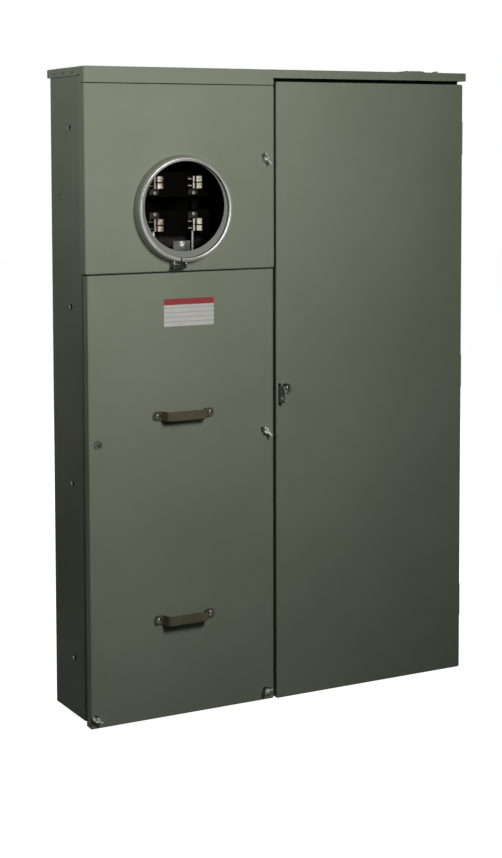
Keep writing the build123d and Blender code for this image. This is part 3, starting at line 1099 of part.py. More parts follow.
# Door: a tall pan with a slot for the hasp and a hole for the latch
DOOR_LEFT = SPLIT + DOOR_TO_SPLIT
DOOR_RIGHT = RIGHT - DOOR_TO_SIDE
DOOR_LOW = BOTTOM - DOOR_DROP
DOOR_HIGH = CAP_TOP - SHORT_SKIRT - DOOR_TO_SKIRT
HASP_X = SPLIT + HASP_FROM_SPLIT
KNOB_X = SPLIT + LATCH_FROM_SPLIT
with BuildPart() as door:
    sheet_pan(DOOR_LEFT, DOOR_RIGHT, DOOR_FRONT, COVER_BACK, DOOR_LOW, DOOR_HIGH)
    slot_left = HASP_X - HASP_THICKNESS / 2 - HASP_SLOT_LEFT
    slot_right = HASP_X + HASP_THICKNESS / 2 + HASP_SLOT_RIGHT
    slot_rise = HASP_SLOT_HEIGHT / 2
    block(slot_left, slot_right, DOOR_FRONT - SHEET, DOOR_FRONT + 2 * SHEET,
          HASP_CENTRE - slot_rise,
          HASP_CENTRE + slot_rise, mode=Mode.SUBTRACT)
    rod_y(KNOB_X, LATCH_CENTRE, KNOB_SHAFT_RADIUS + RUNNING_CLEARANCE, DOOR_FRONT - SHEET,
          DOOR_FRONT + 2 * SHEET,
          mode=Mode.SUBTRACT)
save(door, "door")

with BuildPart() as door_stiffener:
    stiff_x = (DOOR_LEFT + DOOR_RIGHT) / 2
    stiff_y = DOOR_FRONT + SHEET * 1.5
    stiff_crest = DOOR_FRONT + SHEET / 2 + STIFFENER_HEIGHT
    stiff_half = STIFFENER_WIDTH / 2
    folded(Plane.XY.offset(DOOR_LOW + STIFFENER_WIDTH),
           [(stiff_x - 2 * stiff_half, stiff_y), (stiff_x - stiff_half, stiff_y),
            (stiff_x - STIFFENER_CREST / 2, stiff_crest),
            (stiff_x + STIFFENER_CREST / 2, stiff_crest), (stiff_x + stiff_half, stiff_y),
            (stiff_x + 2 * stiff_half, stiff_y)],
           SHEET, FOLD, DOOR_HIGH - DOOR_LOW - 2 * STIFFENER_WIDTH)
save(door_stiffener, "door_stiffener")

# Padlock hasp: a plate on the mullion that stands out through the slot in the door
HASP_FRONT = DOOR_FRONT - HASP_PROUD
with BuildPart() as padlock_hasp:
    block(HASP_X - HASP_THICKNESS / 2, HASP_X + HASP_THICKNESS / 2, HASP_FRONT, RIM,
          HASP_CENTRE - HASP_HEIGHT / 2,
          HASP_CENTRE + HASP_HEIGHT / 2)
    fillet(edges().filter_by(Axis.X).group_by(Axis.Y)[0], HASP_CORNER)
    rod_x(HASP_FRONT + HASP_PROUD / 2, HASP_CENTRE - HASP_HOLE_DROP, HASP_HOLE_RADIUS,
          HASP_X - HASP_THICKNESS,
          HASP_X + HASP_THICKNESS, mode=Mode.SUBTRACT)
save(padlock_hasp, "padlock_hasp")

# Turn latch: a domed knob on a shaft through the door, with a cam that turns behind the mullion
CAM_FRONT = RIM_INSIDE + 2 * SEAT
with BuildPart() as latch_knob:
    knob_y = DOOR_FRONT - SEAT
    with BuildSketch(Plane(origin=(KNOB_X, 0, LATCH_CENTRE), x_dir=(1, 0, 0), z_dir=(0, 0, 1))):
        with BuildLine():
            Polyline((0, CAM_FRONT), (KNOB_SHAFT_RADIUS, CAM_FRONT), (KNOB_SHAFT_RADIUS, knob_y),
                     (KNOB_RADIUS, knob_y),
                     (KNOB_RADIUS, knob_y - KNOB_RIM))
            ThreePointArc((KNOB_RADIUS, knob_y - KNOB_RIM), (KNOB_CHEEK, knob_y - KNOB_SHOULDER),
                          (0, knob_y - KNOB_HEIGHT))
            Line((0, knob_y - KNOB_HEIGHT), (0, CAM_FRONT))
        make_face()
    revolve(axis=Axis((KNOB_X, 0, LATCH_CENTRE), (0, 1, 0)))
    block(KNOB_X - SHEET / 2, KNOB_X + SHEET / 2, knob_y - 2 * KNOB_HEIGHT, knob_y - KNOB_SLOT,
          LATCH_CENTRE - KNOB_RADIUS, LATCH_CENTRE + KNOB_RADIUS, mode=Mode.SUBTRACT)
save(latch_knob, "latch_knob")

with BuildPart() as latch_cam:
    with BuildSketch(Plane.XZ.offset(-CAM_FRONT)):
        with Locations((KNOB_X, LATCH_CENTRE - CAM_LENGTH / 2 + CAM_WIDTH / 2)):
            SlotOverall(CAM_LENGTH + CAM_WIDTH, CAM_WIDTH, rotation=90)
    extrude(amount=-CAM_THICKNESS)
save(latch_cam, "latch_cam")

# Door hinges: leaves on the side wall and the door, knuckles in turn on one pin
HINGE_X = RIGHT + HINGE_OUTSET
HINGE_Y = RIM - KNUCKLE_RADIUS - KNUCKLE_GAP
END_KNUCKLE = (HINGE_HEIGHT - DOOR_KNUCKLE) / 2 - KNUCKLE_GAP
with BuildPart() as hinge_body_leaves:
    for place in HINGE_PLACES:
        block(RIGHT, RIGHT + SHEET, RIM, HINGE_Y + HINGE_LEAF, place - HINGE_HEIGHT / 2,
              place + HINGE_HEIGHT / 2)
        for low in (place - HINGE_HEIGHT / 2, place + HINGE_HEIGHT / 2 - END_KNUCKLE):
            block(RIGHT, RIGHT + SHEET, HINGE_Y, RIM, low, low + END_KNUCKLE)
            rod_z(HINGE_X, HINGE_Y, KNUCKLE_RADIUS, low, low + END_KNUCKLE)
        rod_z(HINGE_X, HINGE_Y, PIN_RADIUS + RUNNING_CLEARANCE, place - HINGE_HEIGHT,
              place + HINGE_HEIGHT,
              mode=Mode.SUBTRACT)
save(hinge_body_leaves, "hinge_body_leaves")

with BuildPart() as hinge_door_leaves:
    for place in HINGE_PLACES:
        block(DOOR_RIGHT, DOOR_RIGHT + SHEET, DOOR_FRONT + BEND, HINGE_Y - KNUCKLE_RADIUS + SHEET,
              place - HINGE_HEIGHT / 2, place + HINGE_HEIGHT / 2)
        low = place - DOOR_KNUCKLE / 2
        high = place + DOOR_KNUCKLE / 2
        block(DOOR_RIGHT, HINGE_X, HINGE_Y - KNUCKLE_RADIUS, HINGE_Y - KNUCKLE_RADIUS + SHEET, low, high)
        rod_z(HINGE_X, HINGE_Y, KNUCKLE_RADIUS, low, high)
        rod_z(HINGE_X, HINGE_Y, PIN_RADIUS + RUNNING_CLEARANCE, place - HINGE_HEIGHT,
              place + HINGE_HEIGHT,
              mode=Mode.SUBTRACT)
save(hinge_door_leaves, "hinge_door_leaves")

with BuildPart() as hinge_pins:
    for place in HINGE_PLACES:
        pin_high = place + HINGE_HEIGHT / 2
        rod_z(HINGE_X, HINGE_Y, PIN_RADIUS, place - HINGE_HEIGHT / 2, pin_high)
        rod_z(HINGE_X, HINGE_Y, PIN_HEAD_RADIUS, pin_high, pin_high + PIN_HEAD)
save(hinge_pins, "hinge_pins")
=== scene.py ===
# %% [markdown]
# # A distribution board in Blender
#
# The board is a folded sheet-steel box that hangs on a wall. A round meter socket stands at the
# upper left, a lift-off cover with two strap handles is below it, and a tall door closes the right
# half. The solids come from the CAD model as a fixed frame. This lesson gives each of them a finish,
# adds the small pieces that are not solids of their own, and sets up the studio.

# %% Load the frame
import json
import math

import bpy
from mathutils import Matrix, Vector


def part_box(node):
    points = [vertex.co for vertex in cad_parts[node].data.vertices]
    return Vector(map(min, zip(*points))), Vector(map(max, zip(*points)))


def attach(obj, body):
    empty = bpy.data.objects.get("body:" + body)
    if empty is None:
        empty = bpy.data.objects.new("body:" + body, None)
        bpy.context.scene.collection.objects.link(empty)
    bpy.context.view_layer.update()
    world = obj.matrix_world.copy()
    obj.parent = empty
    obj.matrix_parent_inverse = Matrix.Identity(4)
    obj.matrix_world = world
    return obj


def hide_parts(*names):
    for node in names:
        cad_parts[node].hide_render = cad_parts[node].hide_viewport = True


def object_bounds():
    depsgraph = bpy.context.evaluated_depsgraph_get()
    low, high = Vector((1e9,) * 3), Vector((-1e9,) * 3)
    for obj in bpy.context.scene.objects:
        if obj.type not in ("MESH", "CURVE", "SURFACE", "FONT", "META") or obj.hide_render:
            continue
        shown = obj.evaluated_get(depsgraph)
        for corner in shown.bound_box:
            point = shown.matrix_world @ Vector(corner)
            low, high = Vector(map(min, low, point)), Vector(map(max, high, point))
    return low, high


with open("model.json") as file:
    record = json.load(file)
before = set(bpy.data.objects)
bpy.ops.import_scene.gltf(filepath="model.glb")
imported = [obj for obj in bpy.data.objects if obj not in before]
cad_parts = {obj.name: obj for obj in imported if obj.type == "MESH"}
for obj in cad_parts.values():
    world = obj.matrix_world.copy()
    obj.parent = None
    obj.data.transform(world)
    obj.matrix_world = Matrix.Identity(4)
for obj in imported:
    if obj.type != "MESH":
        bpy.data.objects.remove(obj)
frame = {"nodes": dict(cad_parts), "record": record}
cad_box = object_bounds()
nodes = frame["nodes"]
bpy.ops.object.select_all(action="DESELECT")

# %% [markdown]
# ## Helpers for finishes
#
# Every finish is a Principled shader with a few texture nodes in front of it. An effect that several
# finishes share, such as the grain of the paint, is a node group: it is built once, it has named
# sockets, and each finish sets its own values. Groups give out only colours, masks and heights, and
# the shader stays in the material.

# %% Node helpers
def add(tree, kind, **values):
    """Adds a node, with its own settings by name and its unlinked inputs by socket name."""
    node = tree.nodes.new(kind)
    for name, value in values.items():
        if hasattr(node, name):
            setattr(node, name, value)
        else:
            node.inputs[name.replace("_", " ")].default_value = value
    return node


def wire(tree, source, target):
    tree.links.new(source, target)


def effect(name, inputs, outputs):
    """An empty node group with its sockets; returns the group and its two end nodes."""
    group = bpy.data.node_groups.new(name, "ShaderNodeTree")
    for label, kind, value in inputs:
        socket = group.interface.new_socket(label, in_out="INPUT", socket_type=kind)
        if value is not None:
            socket.default_value = value
    for label, kind in outputs:
        group.interface.new_socket(label, in_out="OUTPUT", socket_type=kind)
    return group, group.nodes.new("NodeGroupInput"), group.nodes.new("NodeGroupOutput")


def finish(name):
    """A new material: returns it, its tree, its shader and the object coordinates."""
    material = bpy.data.materials.new(name)
    material.use_nodes = True
    tree = material.node_tree
    shader = tree.nodes["Principled BSDF"]
    place = tree.nodes.new("ShaderNodeTexCoord").outputs["Object"]
    return material, tree, shader, place


def use(tree, group, **values):
    """Places an effect in a material, with that material's values."""
    node = tree.nodes.new("ShaderNodeGroup")
    node.node_tree = group
    for name, value in values.items():
        node.inputs[name.replace("_", " ")].default_value = value
    return node


def bump(tree, shader, height, strength, distance):
    node = add(tree, "ShaderNodeBump", Strength=strength, Distance=distance)
    wire(tree, height, node.inputs["Height"])
    wire(tree, node.outputs["Normal"], shader.inputs["Normal"])


# %% [markdown]
# ## Effects that several finishes share
#
# Three things happen to almost every surface here. Its tone drifts a little over a hand's width and
# it carries a fine speckle; drawn or rolled metal has long fine lines; and zinc or galvanised sheet
# shows flat crystals. Each becomes one group. A fourth group tells where a point lies inside a box, so
# that one solid can change its finish from one place to another. All of this could be painted into
# pictures, but a picture needs an unwrapped mesh. Textures on object coordinates fit every solid just
# as it comes from the CAD model.

# %% Tone drift and speckle
tone, tone_in, tone_out = effect(
    "tone_drift",
    [("Vector", "NodeSocketVector", None), ("Colour", "NodeSocketColor", (0.5, 0.5, 0.5, 1)),
     ("Worn Colour", "NodeSocketColor", (0.3, 0.3, 0.3, 1)), ("Drift Scale", "NodeSocketFloat", 4.0),
     ("Speckle Scale", "NodeSocketFloat", 900.0), ("Amount", "NodeSocketFloat", 0.2)],
    [("Colour", "NodeSocketColor"), ("Mask", "NodeSocketFloat"), ("Height", "NodeSocketFloat")])
drift = add(tone, "ShaderNodeTexNoise", Detail=4.0, Roughness=0.55)
speckle = add(tone, "ShaderNodeTexNoise", Detail=2.0, Roughness=0.6)
for noise, scale in ((drift, "Drift Scale"), (speckle, "Speckle Scale")):
    wire(tone, tone_in.outputs["Vector"], noise.inputs["Vector"])
    wire(tone, tone_in.outputs[scale], noise.inputs["Scale"])
spread = add(tone, "ShaderNodeMapRange", From_Min=0.32, From_Max=0.68)
wire(tone, drift.outputs["Fac"], spread.inputs["Value"])
grains = add(tone, "ShaderNodeMapRange", From_Min=0.3, From_Max=0.7, To_Min=-0.35, To_Max=0.35)
wire(tone, speckle.outputs["Fac"], grains.inputs["Value"])
both = add(tone, "ShaderNodeMath", operation="ADD", use_clamp=True)
wire(tone, spread.outputs["Result"], both.inputs[0])
wire(tone, grains.outputs["Result"], both.inputs[1])
share = add(tone, "ShaderNodeMath", operation="MULTIPLY", use_clamp=True)
wire(tone, both.outputs["Value"], share.inputs[0])
wire(tone, tone_in.outputs["Amount"], share.inputs[1])
blend_tone = add(tone, "ShaderNodeMix", data_type="RGBA")
wire(tone, share.outputs["Value"], blend_tone.inputs["Factor"])
wire(tone, tone_in.outputs["Colour"], blend_tone.inputs[6])
wire(tone, tone_in.outputs["Worn Colour"], blend_tone.inputs[7])
wire(tone, blend_tone.outputs[2], tone_out.inputs["Colour"])
wire(tone, both.outputs["Value"], tone_out.inputs["Mask"])
wire(tone, speckle.outputs["Fac"], tone_out.inputs["Height"])
print("effect:", tone.name)

# %% Long lines of drawn metal
lines, lines_in, lines_out = effect(
    "drawn_lines",
    [("Vector", "NodeSocketVector", None), ("Stretch", "NodeSocketVector", (20.0, 900.0, 900.0)),
     ("Low", "NodeSocketFloat", 0.25), ("High", "NodeSocketFloat", 0.45)],
    [("Roughness", "NodeSocketFloat"), ("Height", "NodeSocketFloat")])
pulled = add(lines, "ShaderNodeVectorMath", operation="MULTIPLY")
wire(lines, lines_in.outputs["Vector"], pulled.inputs[0])
wire(lines, lines_in.outputs["Stretch"], pulled.inputs[1])
strands = add(lines, "ShaderNodeTexNoise", Scale=1.0, Detail=3.0, Roughness=0.65)
wire(lines, pulled.outputs["Vector"], strands.inputs["Vector"])
sheen = add(lines, "ShaderNodeMapRange", From_Min=0.3, From_Max=0.7)
wire(lines, strands.outputs["Fac"], sheen.inputs["Value"])
wire(lines, lines_in.outputs["Low"], sheen.inputs["To Min"])
wire(lines, lines_in.outputs["High"], sheen.inputs["To Max"])
wire(lines, sheen.outputs["Result"], lines_out.inputs["Roughness"])
wire(lines, strands.outputs["Fac"], lines_out.inputs["Height"])
print("effect:", lines.name)

# %% Crystals of a zinc coat
crystals, crystals_in, crystals_out = effect(
    "zinc_crystals",
    [("Vector", "NodeSocketVector", None), ("Colour", "NodeSocketColor", (0.6, 0.6, 0.6, 1)),
     ("Dark Colour", "NodeSocketColor", (0.4, 0.4, 0.4, 1)), ("Scale", "NodeSocketFloat", 160.0),
     ("Low", "NodeSocketFloat", 0.25), ("High", "NodeSocketFloat", 0.45)],
    [("Colour", "NodeSocketColor"), ("Roughness", "NodeSocketFloat"), ("Height", "NodeSocketFloat")])
cells = add(crystals, "ShaderNodeTexVoronoi", feature="F1")
wire(crystals, crystals_in.outputs["Vector"], cells.inputs["Vector"])
wire(crystals, crystals_in.outputs["Scale"], cells.inputs["Scale"])
cell_tone = add(crystals, "ShaderNodeSeparateColor")
wire(crystals, cells.outputs["Color"], cell_tone.inputs["Color"])
cell_mix = add(crystals, "ShaderNodeMix", data_type="RGBA")
wire(crystals, cell_tone.outputs["Red"], cell_mix.inputs["Factor"])
wire(crystals, crystals_in.outputs["Colour"], cell_mix.inputs[6])
wire(crystals, crystals_in.outputs["Dark Colour"], cell_mix.inputs[7])
cell_sheen = add(crystals, "ShaderNodeMapRange")
wire(crystals, cell_tone.outputs["Green"], cell_sheen.inputs["Value"])
wire(crystals, crystals_in.outputs["Low"], cell_sheen.inputs["To Min"])
wire(crystals, crystals_in.outputs["High"], cell_sheen.inputs["To Max"])
wire(crystals, cell_mix.outputs[2], crystals_out.inputs["Colour"])
wire(crystals, cell_sheen.outputs["Result"], crystals_out.inputs["Roughness"])
wire(crystals, cells.outputs["Distance"], crystals_out.inputs["Height"])
print("effect:", crystals.name)

# %% Mask of a box
region, region_in, region_out = effect(
    "box_mask",
    [("Vector", "NodeSocketVector", None), ("Centre", "NodeSocketVector", (0.0, 0.0, 0.0)),
     ("Half", "NodeSocketVector", (0.1, 0.1, 0.1))],
    [("Mask", "NodeSocketFloat")])
apart = add(region, "ShaderNodeVectorMath", operation="SUBTRACT")
wire(region, region_in.outputs["Vector"], apart.inputs[0])
wire(region, region_in.outputs["Centre"], apart.inputs[1])
size_of = add(region, "ShaderNodeVectorMath", operation="ABSOLUTE")
wire(region, apart.outputs["Vector"], size_of.inputs[0])
ratio = add(region, "ShaderNodeVectorMath", operation="DIVIDE")
wire(region, size_of.outputs["Vector"], ratio.inputs[0])
wire(region, region_in.outputs["Half"], ratio.inputs[1])
axes = add(region, "ShaderNodeSeparateXYZ")
wire(region, ratio.outputs["Vector"], axes.inputs["Vector"])
wider = add(region, "ShaderNodeMath", operation="MAXIMUM")
wire(region, axes.outputs["X"], wider.inputs[0])
wire(region, axes.outputs["Y"], wider.inputs[1])
widest = add(region, "ShaderNodeMath", operation="MAXIMUM")
wire(region, wider.outputs["Value"], widest.inputs[0])
wire(region, axes.outputs["Z"], widest.inputs[1])
within = add(region, "ShaderNodeMath", operation="LESS_THAN")
within.inputs[1].default_value = 1.0
wire(region, widest.outputs["Value"], within.inputs[0])
wire(region, within.outputs["Value"], region_out.inputs["Mask"])
print("effect:", region.name)

# %% [markdown]
# ## The grey-green paint
#
# The outside is sheet steel with a baked grey-green paint. Baked paint is never quite flat: it has a
# fine orange peel, its tone drifts by a few hundredths, and its sheen is low. The same recipe with
# other values gives the paint of the dead front and of the hub plate, so it is a function. Two pieces
# have other coats inside a box. The shell's lips and its inner faces round the meter socket are
# painted near black as painted shade, so that the gaps between the covers and the socket read dark.
# The lip of the meter opening is painted a paler grey as painted light on its inner wall. Their faces
# could get material slots of their own, but a box holds for any mesh that the CAD model gives.

# %% Painted steel
PAINT_SHEEN = (-0.05, 0.07)
PEEL_HEIGHT = 0.0004


def painted(name, colour, worn, amount, roughness, peel, gloss=0.05, coats=()):
    """A baked paint; each of the coats is a box with the colour that the paint has inside it."""
    material, tree, shader, place = finish(name)
    coat = use(tree, tone, Colour=(*colour, 1), Worn_Colour=(*worn, 1), Drift_Scale=5.0,
               Speckle_Scale=650.0, Amount=amount)
    wire(tree, place, coat.inputs["Vector"])
    shade = coat.outputs["Colour"]
    for centre, half, other in coats:
        inner = use(tree, region, Centre=centre, Half=half)
        wire(tree, place, inner.inputs["Vector"])
        over = add(tree, "ShaderNodeMix", data_type="RGBA")
        over.inputs[7].default_value = other
        wire(tree, inner.outputs["Mask"], over.inputs["Factor"])
        wire(tree, shade, over.inputs[6])
        shade = over.outputs[2]
    wire(tree, shade, shader.inputs["Base Color"])
    sheen = add(tree, "ShaderNodeMapRange", To_Min=roughness + PAINT_SHEEN[0],
                To_Max=roughness + PAINT_SHEEN[1])
    wire(tree, coat.outputs["Mask"], sheen.inputs["Value"])
    wire(tree, sheen.outputs["Result"], shader.inputs["Roughness"])
    shader.inputs["Specular IOR Level"].default_value = gloss
    bump(tree, shader, coat.outputs["Height"], peel, PEEL_HEIGHT)
    return material


def box_coat(low, high, colour):
    """A coat between two corners of a box: its centre, its half size and its colour."""
    centre = tuple((start + end) / 2 for start, end in zip(low, high))
    half = tuple((end - start) / 2 for start, end in zip(low, high))
    return centre, half, (*colour, 1)


# %% Where the coats change
# Painted shade: the near-black coat goes on the shell's inner faces round the meter socket and on its
# front lips. It stands in for the shade in the gaps between the covers and in the socket.
SHADE_BLACK = (0.008, 0.008, 0.007)
LIP_LIGHT = (0.205, 0.210, 0.188)
shell_low, shell_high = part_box("enclosure_body")
lip_skin, lip_reach, lip_margin = 0.0012, 0.0015, 0.003
past_face, past_end = 0.0004, 0.001
lip_front = shell_low[1]
lip_back = lip_front + lip_skin
wall_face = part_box("bottom_end_wall")[1][1] + past_face
inner_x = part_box("bottom_end_wall")[1][0] + past_face
lip_x = inner_x - lip_margin
mullion_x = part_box("centre_mullion")[0][0]
shelf_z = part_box("section_shelf")[0][2]
shaded_inside = box_coat((-inner_x, lip_back, shelf_z - past_end),
                         (mullion_x, wall_face, shell_high[2] + past_end), SHADE_BLACK)
shaded_lips = box_coat((-lip_x, lip_front - lip_reach, -1.0),
                       (lip_x, lip_front + lip_reach, 1.0), SHADE_BLACK)
ring_low, ring_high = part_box("sealing_ring")
ring_radius = (ring_high[0] - ring_low[0]) / 2
meter_x = (ring_low[0] + ring_high[0]) / 2
meter_z = ring_high[2] - ring_radius
# Painted light: the paler grey coat on the lip of the meter opening stands in for light on its inner
# wall.
lip_light_depth = 0.0095
lit_lip_coat = box_coat((meter_x - ring_radius, ring_low[1] - lip_light_depth, meter_z - ring_radius),
                      (meter_x + ring_radius, ring_low[1] + lip_light_depth, meter_z + ring_radius), LIP_LIGHT)
print("meter axis: x", round(meter_x, 4), "z", round(meter_z, 4), "ring radius", round(ring_radius, 4))

# %% Paints
GREEN = (0.222, 0.245, 0.186)
GREEN_WORN = (0.178, 0.198, 0.140)
body_paint = painted("body_paint", GREEN, GREEN_WORN, 0.5, 0.5, 0.10)
# Painted shade: the two coats paint the shell's lips and inner faces near black.
shell_paint = painted("shell_paint", GREEN, GREEN_WORN, 0.5, 0.5, 0.10, 0.02,
                      [shaded_inside, shaded_lips])
# Painted light: this coat makes the lip of the meter opening paler, where light falls on it.
collar_paint = painted("collar_paint", GREEN, GREEN_WORN, 0.5, 0.5, 0.10, coats=[lit_lip_coat])
# Painted shade: the frame pieces behind the covers get near-black paint, standing in for the shade that
# they lie in.
cavity_shade_paint = painted("cavity_shade_paint", (0.0050, 0.0052, 0.0042), (0.0035, 0.0035, 0.0030),
                       0.6, 0.6, 0.12, 0.02)
dead_front_paint = painted("dead_front_paint", (0.300, 0.315, 0.280), (0.250, 0.262, 0.225),
                           0.5, 0.5, 0.10)
hub_paint = painted("hub_paint", (0.150, 0.158, 0.128), (0.105, 0.110, 0.085), 0.5, 0.5, 0.08)
print("finishes: six paints")

# %% [markdown]
# ## Bright and dull metals
#
# The wing screws, the knob and the small screws are zinc plated, the interior pan, the dead front's
# rails and the meter bracket are galvanised, and both coats show crystals. The strap handles are dull
# drawn steel, and the latch of the ring is painted nearly black as painted shade under the ring. The
# branch bus bars are tinned copper that has gone brown in patches, and the left springs of the jaws
# take that darker finish as painted shade, since the ring shades them; the right springs are brighter
# tin. The neutral bars and the lugs are plain aluminium. Two recipes cover them all, one with crystals
# and one with lines. The lines are noise that is stretched along the piece, so they show in any light.

# %% Zinc and galvanised steel
METAL_RELIEF = 0.0003


def coated(name, colour, dark, scale, low, high, relief, metal=1.0):
    """A crystalline coat, whose roughness lies between low and high."""
    material, tree, shader, place = finish(name)
    coat = use(tree, crystals, Colour=(*colour, 1), Dark_Colour=(*dark, 1), Scale=scale,
               Low=low, High=high)
    wire(tree, place, coat.inputs["Vector"])
    wire(tree, coat.outputs["Colour"], shader.inputs["Base Color"])
    wire(tree, coat.outputs["Roughness"], shader.inputs["Roughness"])
    shader.inputs["Metallic"].default_value = metal
    shader.inputs["Specular IOR Level"].default_value = 0.2
    bump(tree, shader, coat.outputs["Height"], relief, METAL_RELIEF)
    return material


zinc = coated("zinc_plate", (0.122, 0.125, 0.104), (0.055, 0.057, 0.046), 420.0, 0.14, 0.26, 0.10)
knob_zinc = coated("knob_zinc", (0.075, 0.076, 0.066), (0.045, 0.046, 0.040), 300.0, 0.10, 0.18, 0.05)
hasp_zinc = coated("hasp_zinc", (0.235, 0.240, 0.200), (0.130, 0.133, 0.108),
                   380.0, 0.30, 0.46, 0.15, 0.35)
bright_zinc = coated("bright_zinc", (0.30, 0.30, 0.28), (0.15, 0.15, 0.14), 420.0, 0.14, 0.26, 0.10)
wing_zinc = coated("wing_zinc", (0.62, 0.62, 0.58), (0.16, 0.16, 0.14), 300.0, 0.16, 0.34, 0.10, 0.7)
galvanised = coated("galvanised_sheet", (0.48, 0.49, 0.47), (0.34, 0.35, 0.34), 110.0, 0.36, 0.55, 0.12)
dull_galvanised = coated("dull_galvanised", (0.085, 0.088, 0.080), (0.055, 0.057, 0.052),
                         90.0, 0.38, 0.55, 0.12)
print("finishes: five zincs and two galvanised sheets")

# %% Drawn steel, tinned copper and aluminium
def drawn(name, colour, worn, amount, stretch, low, high, relief, metal=1.0):
    """A drawn metal; its lines run along the axis with the smallest stretch."""
    material, tree, shader, place = finish(name)
    patches = use(tree, tone, Colour=(*colour, 1), Worn_Colour=(*worn, 1), Drift_Scale=60.0,
                  Speckle_Scale=1500.0, Amount=amount)
    wire(tree, place, patches.inputs["Vector"])
    wire(tree, patches.outputs["Colour"], shader.inputs["Base Color"])
    grain = use(tree, lines, Stretch=stretch, Low=low, High=high)
    wire(tree, place, grain.inputs["Vector"])
    wire(tree, grain.outputs["Roughness"], shader.inputs["Roughness"])
    shader.inputs["Metallic"].default_value = metal
    shader.inputs["Specular IOR Level"].default_value = 0.1
    bump(tree, shader, grain.outputs["Height"], relief, METAL_RELIEF)
    return material


# Painted shade: the latch's near-black colour stands in for the shadow that it lies in under the ring.
latch_shade_steel = drawn("latch_shade_steel", (0.024, 0.022, 0.018), (0.014, 0.013, 0.011), 0.6,
                    (1600.0, 25.0, 1600.0), 0.34, 0.52, 0.12)
strap_steel = drawn("strap_steel", (0.104, 0.093, 0.058), (0.058, 0.052, 0.032), 0.6,
                    (25.0, 1600.0, 1600.0), 0.30, 0.48, 0.12, 0.1)
tinned_copper = drawn("tinned_copper", (0.70, 0.60, 0.49), (0.36, 0.23, 0.15), 0.75,
                      (1200.0, 60.0, 1200.0), 0.26, 0.45, 0.10)
spring_tin = drawn("spring_tin", (0.74, 0.70, 0.62), (0.46, 0.41, 0.34), 0.5,
                   (60.0, 1200.0, 1200.0), 0.30, 0.50, 0.10, 0.6)
aluminium = drawn("bar_aluminium", (0.70, 0.71, 0.71), (0.52, 0.52, 0.51), 0.5,
                  (1200.0, 1200.0, 40.0), 0.28, 0.45, 0.10)
print("finishes: latch steel, strap steel, tinned copper, spring tin and aluminium")

# %% [markdown]
# ## Jaws and sleeved bars
#
# A jaw is bright only where the meter's blades rub it. Behind its tips the tin is worn down to brown
# copper. Further back the jaw is painted black and not metallic, as painted shade deep in the socket.
# The bars behind are painted the same way: only the bare front edge of each strap shines, and the
# rest is painted black as shade. Both finishes follow the depth from front to back. A colour ramp
# over the depth does that without a cut in the solids.

# %% Finishes by depth
def set_stops(ramp, stops):
    """Gives a colour ramp its stops, each a position and a colour."""
    while len(ramp.color_ramp.elements) < len(stops):
        ramp.color_ramp.elements.new(0.5)
    for element, (position, colour) in zip(ramp.color_ramp.elements, stops):
        element.position = position
        element.color = (*colour, 1)


def by_depth(name, front, back, stops, metal_until):
    """A metal whose colour changes from front to back, and which is bare only up to a depth."""
    material, tree, shader, place = finish(name)
    split = add(tree, "ShaderNodeSeparateXYZ")
    wire(tree, place, split.inputs["Vector"])
    depth = add(tree, "ShaderNodeMapRange", From_Min=front, From_Max=back)
    wire(tree, split.outputs["Y"], depth.inputs["Value"])
    ramp = tree.nodes.new("ShaderNodeValToRGB")
    set_stops(ramp, stops)
    wire(tree, depth.outputs["Result"], ramp.inputs["Fac"])
    spots = use(tree, tone, Worn_Colour=(0.05, 0.035, 0.025, 1), Drift_Scale=150.0,
                Speckle_Scale=1500.0, Amount=0.45)
    wire(tree, place, spots.inputs["Vector"])
    wire(tree, ramp.outputs["Color"], spots.inputs["Colour"])
    wire(tree, spots.outputs["Colour"], shader.inputs["Base Color"])
    bare = add(tree, "ShaderNodeMath", operation="LESS_THAN")
    bare.inputs[1].default_value = metal_until
    wire(tree, depth.outputs["Result"], bare.inputs[0])
    wire(tree, bare.outputs["Value"], shader.inputs["Metallic"])
    sheen = add(tree, "ShaderNodeMapRange", To_Min=0.30, To_Max=0.55)
    wire(tree, spots.outputs["Mask"], sheen.inputs["Value"])
    wire(tree, sheen.outputs["Result"], shader.inputs["Roughness"])
    shader.inputs["Specular IOR Level"].default_value = 0.15
    bump(tree, shader, spots.outputs["Height"], 0.10, METAL_RELIEF)
    return material


# Painted shade: the black at the back of the jaws and bars stands in for the shade deep in the socket.
SOCKET_SHADE = (0.004, 0.004, 0.0035)
jaw_low, jaw_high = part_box("jaws_lower")
jaw_metal = by_depth("jaw_metal", jaw_low[1], jaw_high[1],
                     [(0.0, (0.76, 0.73, 0.66)), (0.33, (0.66, 0.62, 0.55)), (0.45, (0.20, 0.13, 0.09)),
                      (0.70, (0.10, 0.065, 0.045)), (0.82, SOCKET_SHADE)], 0.78)
strap_low, strap_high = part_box("load_bar_left")
bar_with_socket_shade = by_depth("bar_with_socket_shade", strap_low[1], strap_high[1],
                       [(0.0, (0.60, 0.57, 0.52)), (0.10, (0.50, 0.46, 0.40)), (0.14, SOCKET_SHADE)], 0.12)
print("finishes: jaw metal and sleeved bar")

# %% [markdown]
# ## The rolled ring
#
# The sealing ring is rolled from aluminium strip, so its lines run round the meter's axis. Straight
# lines would make it look cut from brushed sheet. So they follow the distance from that axis, which is
# measured with a Mapping node and the length of a vector. Darker bands by that distance are painted
# shade in the grooves of its face and under its inner hem. Its dull outer wall has painted bands of
# shade and light by depth. The two ears at its gap are painted nearly black, as painted shade.

